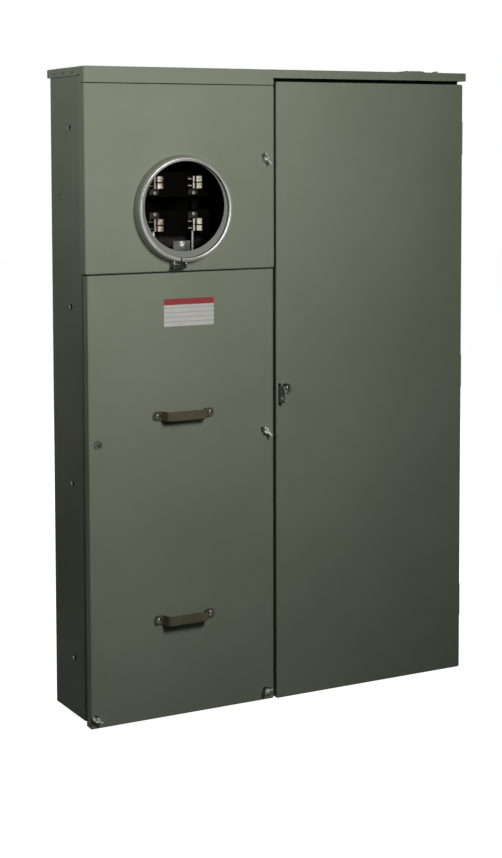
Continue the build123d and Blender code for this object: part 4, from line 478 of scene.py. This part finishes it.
# %% Rolled ring: distance and grain
ring_metal, ring_tree, ring_shader, ring_place = finish("rolled_ring")
centred = add(ring_tree, "ShaderNodeMapping", vector_type="POINT")
centred.inputs["Location"].default_value = (-meter_x, 0.0, -meter_z)
wire(ring_tree, ring_place, centred.inputs["Vector"])
flat = add(ring_tree, "ShaderNodeVectorMath", operation="MULTIPLY")
flat.inputs[1].default_value = (1.0, 0.0, 1.0)
wire(ring_tree, centred.outputs["Vector"], flat.inputs[0])
reach = add(ring_tree, "ShaderNodeVectorMath", operation="LENGTH")
wire(ring_tree, flat.outputs["Vector"], reach.inputs[0])
ring_split = add(ring_tree, "ShaderNodeSeparateXYZ")
wire(ring_tree, ring_place, ring_split.inputs["Vector"])
around = add(ring_tree, "ShaderNodeCombineXYZ")
wire(ring_tree, reach.outputs["Value"], around.inputs["X"])
wire(ring_tree, ring_split.outputs["Y"], around.inputs["Y"])
ring_grain = use(ring_tree, lines, Stretch=(2600.0, 2600.0, 1.0), Low=0.30, High=0.52)
wire(ring_tree, around.outputs["Vector"], ring_grain.inputs["Vector"])
wire(ring_tree, ring_grain.outputs["Roughness"], ring_shader.inputs["Roughness"])
bump(ring_tree, ring_shader, ring_grain.outputs["Height"], 0.06, 0.0002)
print("ring: lines about x", round(meter_x, 4), "z", round(meter_z, 4))

# %% Rolled ring: face
FACE_WIDTH = 0.0105
ring_patches = use(ring_tree, tone, Colour=(0.44, 0.437, 0.405, 1),
                   Worn_Colour=(0.15, 0.147, 0.132, 1), Drift_Scale=15.0,
                   Speckle_Scale=1400.0, Amount=0.8)
wire(ring_tree, ring_place, ring_patches.inputs["Vector"])
across = add(ring_tree, "ShaderNodeMapRange", From_Min=ring_radius - FACE_WIDTH, From_Max=ring_radius)
wire(ring_tree, reach.outputs["Value"], across.inputs["Value"])
# Painted shade: darker bands by the distance from the axis, in the grooves and under the inner hem.
groove_shade = ring_tree.nodes.new("ShaderNodeValToRGB")
groove_shade_stops = [(0.0, 0.25), (0.08, 1.0), (0.26, 1.0), (0.34, 0.22),
               (0.44, 0.75), (0.60, 0.65), (0.68, 0.15), (0.76, 0.8)]
set_stops(groove_shade, [(position, (shade, shade, shade)) for position, shade in groove_shade_stops])
wire(ring_tree, across.outputs["Result"], groove_shade.inputs["Fac"])
groove_shaded_tone = add(ring_tree, "ShaderNodeMix", data_type="RGBA", blend_type="MULTIPLY")
groove_shaded_tone.inputs["Factor"].default_value = 1.0
wire(ring_tree, ring_patches.outputs["Colour"], groove_shaded_tone.inputs[6])
wire(ring_tree, groove_shade.outputs["Color"], groove_shaded_tone.inputs[7])
print("ring: grooves at", [position for position, shade in groove_shade_stops if shade < 0.3])

# %% Rolled ring: outer wall and ears
WALL_START, WALL_END = 0.0042, 0.0030
# Painted shade and light: bands by depth on the outer wall, a dark shadow line between lighter ones.
outer_wall = add(ring_tree, "ShaderNodeMapRange", From_Min=ring_radius - WALL_START,
             From_Max=ring_radius - WALL_END)
wire(ring_tree, reach.outputs["Value"], outer_wall.inputs["Value"])
wall_depth = add(ring_tree, "ShaderNodeMapRange", From_Min=ring_low[1], From_Max=ring_high[1])
wire(ring_tree, ring_split.outputs["Y"], wall_depth.inputs["Value"])
wall_shade_bands = ring_tree.nodes.new("ShaderNodeValToRGB")
set_stops(wall_shade_bands, [(0.0, (0.36, 0.36, 0.32)), (0.32, (0.33, 0.33, 0.29)),
                        (0.42, (0.13, 0.13, 0.11)), (0.52, (0.27, 0.27, 0.235)),
                        (0.95, (0.15, 0.15, 0.13))])
wire(ring_tree, wall_depth.outputs["Result"], wall_shade_bands.inputs["Fac"])
wall_shaded_tone = add(ring_tree, "ShaderNodeMix", data_type="RGBA")
wire(ring_tree, outer_wall.outputs["Result"], wall_shaded_tone.inputs["Factor"])
wire(ring_tree, groove_shaded_tone.outputs[2], wall_shaded_tone.inputs[6])
wire(ring_tree, wall_shade_bands.outputs["Color"], wall_shaded_tone.inputs[7])
bare_metal = add(ring_tree, "ShaderNodeMapRange", To_Min=1.0, To_Max=0.30)
wire(ring_tree, outer_wall.outputs["Result"], bare_metal.inputs["Value"])
wire(ring_tree, bare_metal.outputs["Result"], ring_shader.inputs["Metallic"])
ear_gap, ear_depth = 0.0004, 0.04
ear_height = meter_z - ring_radius - ear_gap - ring_low[2]
ears = use(ring_tree, region, Centre=(meter_x, ring_low[1], ring_low[2]),
           Half=(ring_radius, ear_depth, ear_height))
wire(ring_tree, ring_place, ears.inputs["Vector"])
# Painted shade: the ears are nearly black, standing in for the shadow under the ring.
ear_shade = add(ring_tree, "ShaderNodeMix", data_type="RGBA")
ear_shade.inputs[7].default_value = (0.024, 0.022, 0.018, 1)
wire(ring_tree, ears.outputs["Mask"], ear_shade.inputs["Factor"])
wire(ring_tree, wall_shaded_tone.outputs[2], ear_shade.inputs[6])
wire(ring_tree, ear_shade.outputs[2], ring_shader.inputs["Base Color"])
print("finish: rolled ring, with ears", round(ear_height, 4), "high")

# %% [markdown]
# ## Mouldings
#
# The jaw blocks, stand-offs and breaker cases are dark mouldings. A matt moulding has a fine spark
# texture from its mould; the breaker handles are the same material with a smoother face. The black
# washers of the rivets use the same recipe, which is the paint's with finer grain; their black is
# painted shade for the dimple round each rivet head.

# %% Dark mouldings
MOULDING_SHEEN = (-0.06, 0.10)
SPARK_HEIGHT = 0.0004


def moulded(name, colour, worn, roughness, spark, gloss):
    """A moulding with the spark texture of its mould."""
    material, tree, shader, place = finish(name)
    skin = use(tree, tone, Colour=(*colour, 1), Worn_Colour=(*worn, 1), Drift_Scale=30.0,
               Speckle_Scale=1800.0, Amount=0.6)
    wire(tree, place, skin.inputs["Vector"])
    wire(tree, skin.outputs["Colour"], shader.inputs["Base Color"])
    sheen = add(tree, "ShaderNodeMapRange", To_Min=roughness + MOULDING_SHEEN[0],
                To_Max=roughness + MOULDING_SHEEN[1])
    wire(tree, skin.outputs["Mask"], sheen.inputs["Value"])
    wire(tree, sheen.outputs["Result"], shader.inputs["Roughness"])
    shader.inputs["Specular IOR Level"].default_value = gloss
    bump(tree, shader, skin.outputs["Height"], spark, SPARK_HEIGHT)
    return material


block_moulding = moulded("block_moulding", (0.0020, 0.0020, 0.0017), (0.0035, 0.0034, 0.0030),
                         0.75, 0.25, 0.01)
breaker_moulding = moulded("breaker_moulding", (0.024, 0.024, 0.024), (0.040, 0.040, 0.039),
                           0.5, 0.25, 0.2)
handle_moulding = moulded("handle_moulding", (0.018, 0.018, 0.018), (0.030, 0.030, 0.030),
                          0.32, 0.10, 0.2)
# Painted shade: the washer's black stands in for the shade in the dimple round each rivet.
washer_shade_black = moulded("washer_shade_black", (0.010, 0.010, 0.009), (0.018, 0.018, 0.016), 0.7, 0.20, 0.05)
print("finishes: four mouldings")

# %% [markdown]
# ## Giving every solid its finish
#
# The record lists a material slot for each node. Most slots map to one finish. A few nodes differ
# inside their slot: the frame pieces behind the covers are painted near black as painted shade, the
# line bars take the black moulding as painted shade, the jaws and bars have their finishes by depth,
# and the lip of the meter opening is painted paler as painted light. The wing screws, the hasp, the
# knob and the latch of the ring each differ from the plain screws.

# %% Assign the finishes
slot_finish = {
    "body_paint": body_paint, "hub_metal": hub_paint, "zinc": zinc, "ring_metal": ring_metal,
    "strap_steel": strap_steel, "tinned_copper": tinned_copper, "bar_aluminium": aluminium,
    "galvanised": galvanised, "dead_front_paint": dead_front_paint, "block_moulding": block_moulding,
    "breaker_moulding": breaker_moulding, "handle_moulding": handle_moulding,
}
node_finish = {
    # Painted shade: the pieces behind the covers get the near-black paint.
    "enclosure_body": shell_paint, "section_shelf": cavity_shade_paint, "centre_mullion": cavity_shade_paint,
    "top_rail": cavity_shade_paint, "jaw_brackets": cavity_shade_paint, "padlock_hasp": hasp_zinc,
    "latch_knob": knob_zinc, "jaws_upper": jaw_metal, "jaws_lower": jaw_metal,
    # Painted shade: the line bars take the black moulding, standing in for the shade in the meter
    # socket.
    "load_bar_left": bar_with_socket_shade, "load_bar_right": bar_with_socket_shade, "line_bars": block_moulding,
    "meter_cover": collar_paint, "meter_bracket": dull_galvanised, "jaw_screws": bright_zinc,
    "ring_latch": latch_shade_steel, "ring_latch_pin": latch_shade_steel,
    "wing_screw_meter": wing_zinc, "wing_screw_middle": wing_zinc,
    "wing_screw_right": bright_zinc, "wing_screw_left": bright_zinc,
}
for part in frame["record"]["subparts"]:
    node = nodes[part["node"]]
    node.data.materials.clear()
    node.data.materials.append(node_finish.get(part["node"], slot_finish[part["material_slot"]]))
print("finished nodes:", len(nodes))

# %% [markdown]
# ## Rivets in the side walls
#
# Four blind rivets close the small dimples in each side wall. Each has a black washer and a low domed
# head with a hollow in its middle, where the rivet's pin broke off; the washer's black is painted shade
# for the dimple round the head. One rivet starts as a short cylinder on the wall. Its outer face is
# inset and pushed outwards step by step, which makes the washer's rim, the shoulder of the head, its
# dome and the hollow, and the washer's edge is bevelled. It could also be spun from a profile, but the
# insets leave a closed mesh with no seam to merge.

# %% Rivet
FACING = 0.9


def pick_faces(piece, test):
    """Selects the faces of a piece that pass a test, and leaves it in edit mode."""
    bpy.ops.object.mode_set(mode="OBJECT")
    for element in (*piece.data.vertices, *piece.data.edges):
        element.select = False
    for face in piece.data.polygons:
        face.select = test(face)
    bpy.ops.object.mode_set(mode="EDIT")
    bpy.ops.mesh.select_mode(type="FACE")


def wall_rivet(name, side, depth, rise):
    """A rivet on the wall of one side, at its place from front to back and its height."""
    facets, washer_radius, washer_thickness, washer_edge = 32, 0.0046, 0.0010, 0.0003
    steps = [(0.0016, 0.0008), (0.0006, 0.0004), (0.0009, 0.0002), (0.0004, -0.0007)]
    head_radius = washer_radius - steps[0][0]
    face_x = side * shell_high[0]
    bpy.ops.object.select_all(action="DESELECT")
    bpy.ops.mesh.primitive_cylinder_add(vertices=facets, radius=washer_radius, depth=washer_thickness,
                                        location=(face_x + side * washer_thickness / 2, depth, rise),
                                        rotation=(0, side * math.pi / 2, 0))
    rivet = bpy.context.object
    rivet.name = name
    bpy.ops.object.transform_apply(location=True, rotation=True, scale=True)
    pick_faces(rivet, lambda face: face.normal.x * side > FACING)
    bpy.ops.mesh.bevel(offset=washer_edge, segments=2, affect="EDGES")
    pick_faces(rivet, lambda face: face.normal.x * side > FACING and len(face.vertices) == facets)
    for inset, push in steps:
        bpy.ops.mesh.inset(thickness=inset)
        bpy.ops.mesh.extrude_region_move(TRANSFORM_OT_translate={"value": (side * push, 0, 0)})
    bpy.ops.object.mode_set(mode="OBJECT")
    # Painted shade: the black washer stands for the dimple's shade, and the zinc head sits in the
    # middle.
    rivet.data.materials.append(washer_shade_black)
    rivet.data.materials.append(bright_zinc)
    middle = Vector((0.0, depth, rise))
    for face in rivet.data.polygons:
        off_axis = Vector((0.0, face.center.y, face.center.z)) - middle
        proud = (face.center.x - face_x) * side
        if off_axis.length < head_radius and proud > washer_thickness:
            face.material_index = 1
    bpy.ops.object.shade_smooth_by_angle(angle=math.radians(40))
    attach(rivet, "enclosure")
    return rivet


dimple_setback, dimple_pitch = 0.044, 0.299
dimple_depth = shell_low[1] + dimple_setback
rivets = [wall_rivet(f"wall_rivet_{'left' if side < 0 else 'right'}_{number + 1}", side, dimple_depth,
                     (number - 1.5) * dimple_pitch)
          for side in (-1, 1) for number in range(4)]
print("rivets:", len(rivets), "with", len(rivets[0].data.polygons), "faces each")

# %% [markdown]
# ## Cross recesses in the screw heads
#
# The screws of the handles, the pull cover, the hub plate and the dead front are driven by a cross
# recess, which the plain CAD heads lack. A dark cross in the material would be quicker, but the
# exported mesh would lack it. So a copy of each set is merged and parted into single screws.
# Two thin blocks, the second a quarter turn on, are cut out of each head with a Boolean. Every screw
# has an angle of its own, because no two screws stop at the same turn. The copies then stand for the
# CAD screws, which stay in the physics model.

# %% Cross recess
ARM_SHARE, SLIT_SHARE = 1.16, 0.24
FIRST_TURN, TURN_STEP = 0.35, 1.1
WELD = 0.000002


def extent(piece):
    """The lowest and highest corner of a piece's mesh."""
    points = [vertex.co for vertex in piece.data.vertices]
    return (Vector([min(point[axis] for point in points) for axis in range(3)]),
            Vector([max(point[axis] for point in points) for axis in range(3)]))


def carve(piece, place, size, spin):
    """Cuts a turned block out of a piece."""
    bpy.ops.object.select_all(action="DESELECT")
    bpy.ops.mesh.primitive_cube_add(size=1.0, location=place, rotation=spin)
    cutter = bpy.context.object
    cutter.scale = size
    bpy.ops.object.transform_apply(location=True, rotation=True, scale=True)
    recess = piece.modifiers.new("recess", "BOOLEAN")
    recess.operation = "DIFFERENCE"
    recess.solver = "EXACT"
    recess.object = cutter
    bpy.context.view_layer.objects.active = piece
    bpy.ops.object.modifier_apply(modifier=recess.name)
    bpy.data.objects.remove(cutter)


def cut_cross(screw, upright, turn, depth):
    """Cuts the recess into one screw; an upright screw has its head on top, the others in front."""
    low, high = extent(screw)
    radius = (high.x - low.x) / 2
    head = (low + high) / 2
    arm, slit = ARM_SHARE * radius, SLIT_SHARE * radius
    if upright:
        head.z = high.z
        size = (arm, slit, 2 * depth)
    else:
        head.y = low.y
        size = (arm, 2 * depth, slit)
    for quarter in (0, math.pi / 2):
        carve(screw, head, size, (0, 0, turn + quarter) if upright else (0, turn + quarter, 0))


def crossed(node_name, body, upright, depth):
    """A copy of a node's screws with a recess in each head, which stands for the node."""
    screws = bpy.data.objects.new(node_name + "_crossed", nodes[node_name].data.copy())
    bpy.context.collection.objects.link(screws)
    bpy.ops.object.select_all(action="DESELECT")
    screws.select_set(True)
    bpy.context.view_layer.objects.active = screws
    bpy.ops.mesh.customdata_custom_splitnormals_clear()
    bpy.ops.object.mode_set(mode="EDIT")
    bpy.ops.mesh.select_all(action="SELECT")
    bpy.ops.mesh.remove_doubles(threshold=WELD)
    bpy.ops.mesh.separate(type="LOOSE")
    bpy.ops.object.mode_set(mode="OBJECT")
    singles = sorted(bpy.context.selected_objects, key=lambda single: tuple(extent(single)[0]))
    for number, single in enumerate(singles):
        cut_cross(single, upright, FIRST_TURN + TURN_STEP * number, depth)
    bpy.ops.object.select_all(action="DESELECT")
    for single in singles:
        single.select_set(True)
    bpy.context.view_layer.objects.active = screws
    if len(singles) > 1:
        bpy.ops.object.join()
    bpy.ops.object.shade_smooth_by_angle(angle=math.radians(35))
    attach(screws, body)
    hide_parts(node_name)
    print("crossed:", node_name, len(singles), "screws,", len(screws.data.polygons), "faces")


crossed("handle_screws", "pull_cover", False, 0.0017)
crossed("pull_cover_screw", "pull_cover", False, 0.0017)
crossed("dead_front_screws", "enclosure", False, 0.0014)
crossed("hub_screws", "enclosure", True, 0.0013)

# %% [markdown]
# ## The slotted screw of the bracket
#
# The grey bracket in the meter opening holds a bonding screw with a broad washer under its head, wider
# than the plain CAD screw that it covers. It starts as a low cylinder on the bracket's face, the
# washer. Its front face is inset and extruded into the head, the head's front edge is rounded with a
# bevel, and one block is cut out of it for the slot. Two cylinders would look much the same, but this
# way washer and head are one closed piece.

# %% Slotted screw
bracket_low, bracket_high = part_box("meter_bracket")
below_edge = 0.0060
bonding_x = (bracket_low[0] + bracket_high[0]) / 2
bonding_z = bracket_high[2] - below_edge
washer_rim, washer_height = 0.0057, 0.0010
head_inset, head_height, head_round = 0.0011, 0.0032, 0.0013
slot_size, slot_turn = (0.0110, 0.0024, 0.0014), -0.6
bpy.ops.object.select_all(action="DESELECT")
bpy.ops.mesh.primitive_cylinder_add(vertices=48, radius=washer_rim, depth=washer_height,
                                    location=(bonding_x, bracket_low[1] - washer_height / 2, bonding_z),
                                    rotation=(math.pi / 2, 0, 0))
bonding_screw = bpy.context.object
bonding_screw.name = "bonding_screw"
bpy.ops.object.transform_apply(location=True, rotation=True, scale=True)
pick_faces(bonding_screw, lambda face: face.normal.y < -FACING)
bpy.ops.mesh.inset(thickness=head_inset)
bpy.ops.mesh.extrude_region_move(TRANSFORM_OT_translate={"value": (0, -head_height, 0)})
bpy.ops.mesh.bevel(offset=head_round, segments=4, affect="EDGES")
bpy.ops.object.mode_set(mode="OBJECT")
head_front = extent(bonding_screw)[0].y
carve(bonding_screw, (bonding_x, head_front, bonding_z), slot_size, (0, slot_turn, 0))
bonding_screw.data.materials.append(wing_zinc)
bonding_screw.select_set(True)
bpy.ops.object.shade_smooth_by_angle(angle=math.radians(35))
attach(bonding_screw, "enclosure")
print("bonding screw:", len(bonding_screw.data.polygons), "faces")

# %% [markdown]
# ## Springs of the jaws
#
# A thin spring clip sits against the left leaf of each jaw, and two pointed tongues stand out from it
# to the left. The clip starts as a flat block on the leaf. Bisecting it marks out two small faces, and
# each is extruded twice and made narrower, which gives a tapered tongue. Loose wedges would be easier
# to place, but a clip is stamped from one strip, so its tongues grow out of it. One clip is modelled
# and then copied to the other jaws, each copy with its own mesh. The right clips are bright tin, and
# the left ones take the darker brown tinned copper as painted shade, since the ring shades them.

# %% Jaw springs
jaw_half, leaf_half = 0.0087, 0.0105
clip_size = Vector((0.0012, 0.0080, 0.0190))
clip_offset = Vector((-0.0036, 0.0130, 0.0))
tongue_rise, tongue_half, root_setback = 0.0058, 0.0014, 0.001
tongue_steps = ((0.0060, 0.0030, (1, 0.70, 0.75)), (0.0065, 0.0025, (1, 0.30, 0.28)))
upper_low, upper_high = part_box("jaws_upper")
jaw_columns = {"left": upper_low[0] + jaw_half, "right": upper_high[0] - jaw_half}
jaw_rows = {"upper": upper_high[2] - leaf_half, "lower": jaw_low[2] + leaf_half}
first_jaw = Vector((jaw_columns["left"], upper_low[1], jaw_rows["upper"]))
clip_middle = first_jaw + clip_offset
root_y = clip_middle.y - root_setback
bpy.ops.object.select_all(action="DESELECT")
bpy.ops.mesh.primitive_cube_add(size=1.0, location=clip_middle)
clip = bpy.context.object
clip.name = "jaw_spring_upper_left"
clip.scale = clip_size
bpy.ops.object.transform_apply(location=True, rotation=True, scale=True)
bpy.ops.object.mode_set(mode="EDIT")
for side in (-1, 1):
    for edge in (-1, 1):
        level = clip_middle.z + side * tongue_rise + edge * tongue_half
        bpy.ops.mesh.select_all(action="SELECT")
        bpy.ops.mesh.bisect(plane_co=(0, 0, level), plane_no=(0, 0, 1))
bpy.ops.mesh.select_all(action="SELECT")
bpy.ops.mesh.bisect(plane_co=(0, root_y, 0), plane_no=(0, 1, 0))
for side in (-1, 1):
    tongue_z = clip_middle.z + side * tongue_rise
    tongue_y = (clip_middle.y - clip_size.y / 2 + root_y) / 2
    tongue_x = clip_middle.x - clip_size.x / 2
    pick_faces(clip, lambda face: (face.normal.x < -FACING and face.center.y < root_y
                                   and abs(face.center.z - tongue_z) < tongue_half))
    for outward, ahead, taper in tongue_steps:
        bpy.ops.mesh.extrude_region_move(TRANSFORM_OT_translate={"value": (-outward, -ahead, 0)})
        tongue_x, tongue_y = tongue_x - outward, tongue_y - ahead
        bpy.ops.transform.resize(value=taper, center_override=(tongue_x, tongue_y, tongue_z))
bpy.ops.object.mode_set(mode="OBJECT")
bpy.ops.object.shade_smooth_by_angle(angle=math.radians(30))
clip.data.materials.append(tinned_copper)
clips = [clip]
for row, rise in jaw_rows.items():
    for column, across_x in jaw_columns.items():
        if (row, column) == ("upper", "left"):
            continue
        shift = Vector((across_x, upper_low[1], rise)) - first_jaw
        copy = bpy.data.objects.new(f"jaw_spring_{row}_{column}", clip.data.copy())
        copy.data.transform(Matrix.Translation(shift))
        # Painted shade: the left clips get the darker tinned copper, standing in for the ring's shadow
        # on them.
        copy.data.materials[0] = spring_tin if column == "right" else tinned_copper
        bpy.context.collection.objects.link(copy)
        clips.append(copy)
for spring in clips:
    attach(spring, "enclosure")
print("jaw springs:", len(clips), "with", len(clip.data.polygons), "faces each")

# %% [markdown]
# ## A blank sticker
#
# The pull section cover carries a sticker, a blank write-on card of off-white film with one dull red
# band and a few ruled lines. It could be a patch of colour in the cover's paint, but it would then have
# no edge and be no piece of its own. It starts as a plane at its size, is given rounded corners by a
# bevel on its vertices, and is extruded into a thin film, which ends just short of the paint behind it.

# %% Sticker film
sticker_low = (-0.2373, 0.1130)
sticker_high = (-0.1421, 0.1604)
film, film_share, corner_radius = 0.00022, 0.8, 0.0025
cover_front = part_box("pull_cover")[0][1]
sticker_x = (sticker_low[0] + sticker_high[0]) / 2
sticker_z = (sticker_low[1] + sticker_high[1]) / 2
bpy.ops.mesh.primitive_plane_add(size=1.0, location=(sticker_x, cover_front - film, sticker_z),
                                 rotation=(math.radians(90), 0, 0))
sticker = bpy.context.object
sticker.name = "blank_sticker"
sticker.scale = (sticker_high[0] - sticker_low[0], sticker_high[1] - sticker_low[1], 1.0)
bpy.ops.object.transform_apply(location=True, rotation=True, scale=True)
bpy.ops.object.mode_set(mode="EDIT")
bpy.ops.mesh.select_all(action="SELECT")
bpy.ops.mesh.bevel(offset=corner_radius, segments=5, affect="VERTICES")
bpy.ops.mesh.select_all(action="SELECT")
bpy.ops.mesh.extrude_region_move(TRANSFORM_OT_translate={"value": (0, film * film_share, 0)})
bpy.ops.mesh.select_all(action="SELECT")
bpy.ops.mesh.normals_make_consistent(inside=False)
bpy.ops.object.mode_set(mode="OBJECT")
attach(sticker, "pull_cover")
print("sticker:", len(sticker.data.polygons), "faces")

# %% Sticker print
BAND_START, RULED_ROWS, RULE_SHARE = 0.78, 6.0, 0.10
card, card_tree, card_shader, card_place = finish("sticker_film")
card_split = add(card_tree, "ShaderNodeSeparateXYZ")
wire(card_tree, card_place, card_split.inputs["Vector"])
up = add(card_tree, "ShaderNodeMapRange", From_Min=sticker_low[1], From_Max=sticker_high[1])
wire(card_tree, card_split.outputs["Z"], up.inputs["Value"])
band = add(card_tree, "ShaderNodeMath", operation="GREATER_THAN")
band.inputs[1].default_value = BAND_START
wire(card_tree, up.outputs["Result"], band.inputs[0])
rows = add(card_tree, "ShaderNodeMath", operation="MULTIPLY")
rows.inputs[1].default_value = RULED_ROWS
wire(card_tree, up.outputs["Result"], rows.inputs[0])
part_row = add(card_tree, "ShaderNodeMath", operation="FRACT")
wire(card_tree, rows.outputs["Value"], part_row.inputs[0])
rule = add(card_tree, "ShaderNodeMath", operation="LESS_THAN")
rule.inputs[1].default_value = RULE_SHARE
wire(card_tree, part_row.outputs["Value"], rule.inputs[0])
paper = use(card_tree, tone, Colour=(0.56, 0.55, 0.52, 1), Worn_Colour=(0.46, 0.45, 0.42, 1),
            Drift_Scale=40.0, Speckle_Scale=1600.0, Amount=0.5)
wire(card_tree, card_place, paper.inputs["Vector"])
ruled = add(card_tree, "ShaderNodeMix", data_type="RGBA")
ruled.inputs[7].default_value = (0.26, 0.26, 0.26, 1)
wire(card_tree, rule.outputs["Value"], ruled.inputs["Factor"])
wire(card_tree, paper.outputs["Colour"], ruled.inputs[6])
printed = add(card_tree, "ShaderNodeMix", data_type="RGBA")
printed.inputs[7].default_value = (0.27, 0.035, 0.035, 1)
wire(card_tree, band.outputs["Value"], printed.inputs["Factor"])
wire(card_tree, ruled.outputs[2], printed.inputs[6])
wire(card_tree, printed.outputs[2], card_shader.inputs["Base Color"])
card_shader.inputs["Specular IOR Level"].default_value = 0.25
card_sheen = add(card_tree, "ShaderNodeMapRange", To_Min=0.36, To_Max=0.5)
wire(card_tree, paper.outputs["Mask"], card_sheen.inputs["Value"])
wire(card_tree, card_sheen.outputs["Result"], card_shader.inputs["Roughness"])
sticker.data.materials.append(card)
print("sticker finish:", card.name, "with a band from", BAND_START)

# %% [markdown]
# ## Floor, light and camera
#
# The board is shown on white. The floor and the world are white for the camera and for reflections,
# and quiet for the light that they give the object. One soft panel stands in front, near the upper
# half, and is turned to the left, so the light falls away towards the lower right. It shines straight
# into the gaps between the covers, so their side faces stay dark. A second panel, far out at the left,
# lights the left wall, and two more light the back and the right wall, which the camera does not see.
# The camera's place, turn and shift come from a fit to the board's edges in the photo.

# %% Floor
floor_gap, floor_size = 0.0006, 24.0
floor_z = cad_box[0][2] - floor_gap
bpy.ops.mesh.primitive_plane_add(size=floor_size, location=(0, 0, floor_z))
floor = bpy.context.object
floor.name = "floor"
bpy.ops.object.transform_apply(location=True)


def seen_rays(tree):
    """1 for camera, glossy and transmission rays, 0 for the light that falls on the object."""
    path = tree.nodes.new("ShaderNodeLightPath")
    first = add(tree, "ShaderNodeMath", operation="MAXIMUM")
    wire(tree, path.outputs["Is Camera Ray"], first.inputs[0])
    wire(tree, path.outputs["Is Glossy Ray"], first.inputs[1])
    second = add(tree, "ShaderNodeMath", operation="MAXIMUM")
    wire(tree, first.outputs["Value"], second.inputs[0])
    wire(tree, path.outputs["Is Transmission Ray"], second.inputs[1])
    return second.outputs["Value"]


pale = bpy.data.materials.new("pale_floor")
pale.use_nodes = True
pale_tree = pale.node_tree
pale_tree.nodes.remove(pale_tree.nodes["Principled BSDF"])
quiet = add(pale_tree, "ShaderNodeBsdfDiffuse", Color=(0.03, 0.03, 0.03, 1))
glow = add(pale_tree, "ShaderNodeEmission", Color=(1, 1, 1, 1), Strength=0.985)
shade = add(pale_tree, "ShaderNodeBsdfDiffuse", Color=(0.4, 0.4, 0.4, 1))
lit = pale_tree.nodes.new("ShaderNodeAddShader")
wire(pale_tree, glow.outputs["Emission"], lit.inputs[0])
wire(pale_tree, shade.outputs["BSDF"], lit.inputs[1])
choose = pale_tree.nodes.new("ShaderNodeMixShader")
wire(pale_tree, seen_rays(pale_tree), choose.inputs["Fac"])
wire(pale_tree, quiet.outputs["BSDF"], choose.inputs[1])
wire(pale_tree, lit.outputs["Shader"], choose.inputs[2])
wire(pale_tree, choose.outputs["Shader"], pale_tree.nodes["Material Output"].inputs["Surface"])
floor.data.materials.append(pale)
print("floor at z", round(floor_z, 4))

# %% World
world = bpy.data.worlds.new("studio")
bpy.context.scene.world = world
world.use_nodes = True
world_tree = world.node_tree
ambient = world_tree.nodes["Background"]
ambient.inputs["Color"].default_value = (1.0, 0.96, 0.78, 1)
ambient.inputs["Strength"].default_value = 0.016
white = add(world_tree, "ShaderNodeBackground", Color=(1, 1, 1, 1), Strength=1.0)
world_mix = world_tree.nodes.new("ShaderNodeMixShader")
wire(world_tree, seen_rays(world_tree), world_mix.inputs["Fac"])
wire(world_tree, ambient.outputs["Background"], world_mix.inputs[1])
wire(world_tree, white.outputs["Background"], world_mix.inputs[2])
wire(world_tree, world_mix.outputs["Shader"], world_tree.nodes["World Output"].inputs["Surface"])
print("world: white to the camera, quiet to the object")


# %% Lights
def panel(name, place, aim, size, power):
    """A soft square lamp that faces a point."""
    bpy.ops.object.light_add(type="AREA", location=place)
    lamp = bpy.context.object
    lamp.name = name
    lamp.data.shape = "SQUARE"
    lamp.data.size = size
    lamp.data.energy = power
    lamp.rotation_euler = (Vector(aim) - Vector(place)).to_track_quat("-Z", "Y").to_euler()
    return lamp


panel("key_panel", (-0.12, -1.40, 0.68), (-1.34, -0.15, 0.54), 0.45, 19.0)
panel("side_panel", (-1.15, -0.32, 0.76), (-0.38, -0.08, 0.98), 0.3, 3.9)
panel("back_panel", (1.1, 2.4, 1.6), (0.0, 0.0, 0.0), 1.6, 60.0)
panel("right_panel", (2.2, 0.35, 0.7), (0.38, -0.05, 0.0), 1.0, 24.0)
print("lights: key, side, back and right panels")

# %% Camera
bpy.ops.object.camera_add(location=(-1.49774, -2.67412, 0.40379))
camera = bpy.context.object
camera.name = "camera"
yaw, pitch, roll = (math.radians(angle) for angle in (27.1914, -4.0109, -0.3067))
camera.rotation_euler = (Matrix.Rotation(-yaw, 3, "Z") @ Matrix.Rotation(math.pi / 2 + pitch, 3, "X")
                         @ Matrix.Rotation(roll, 3, "Z")).to_euler()
camera.data.sensor_width = 36.0
camera.data.lens = 70.66
camera.data.shift_x = 0.07981
camera.data.shift_y = -0.18293
camera.data.clip_end = 60.0
bpy.context.scene.camera = camera
bpy.context.scene.view_settings.view_transform = "Standard"
print("camera:", round(camera.data.lens, 2), "mm")
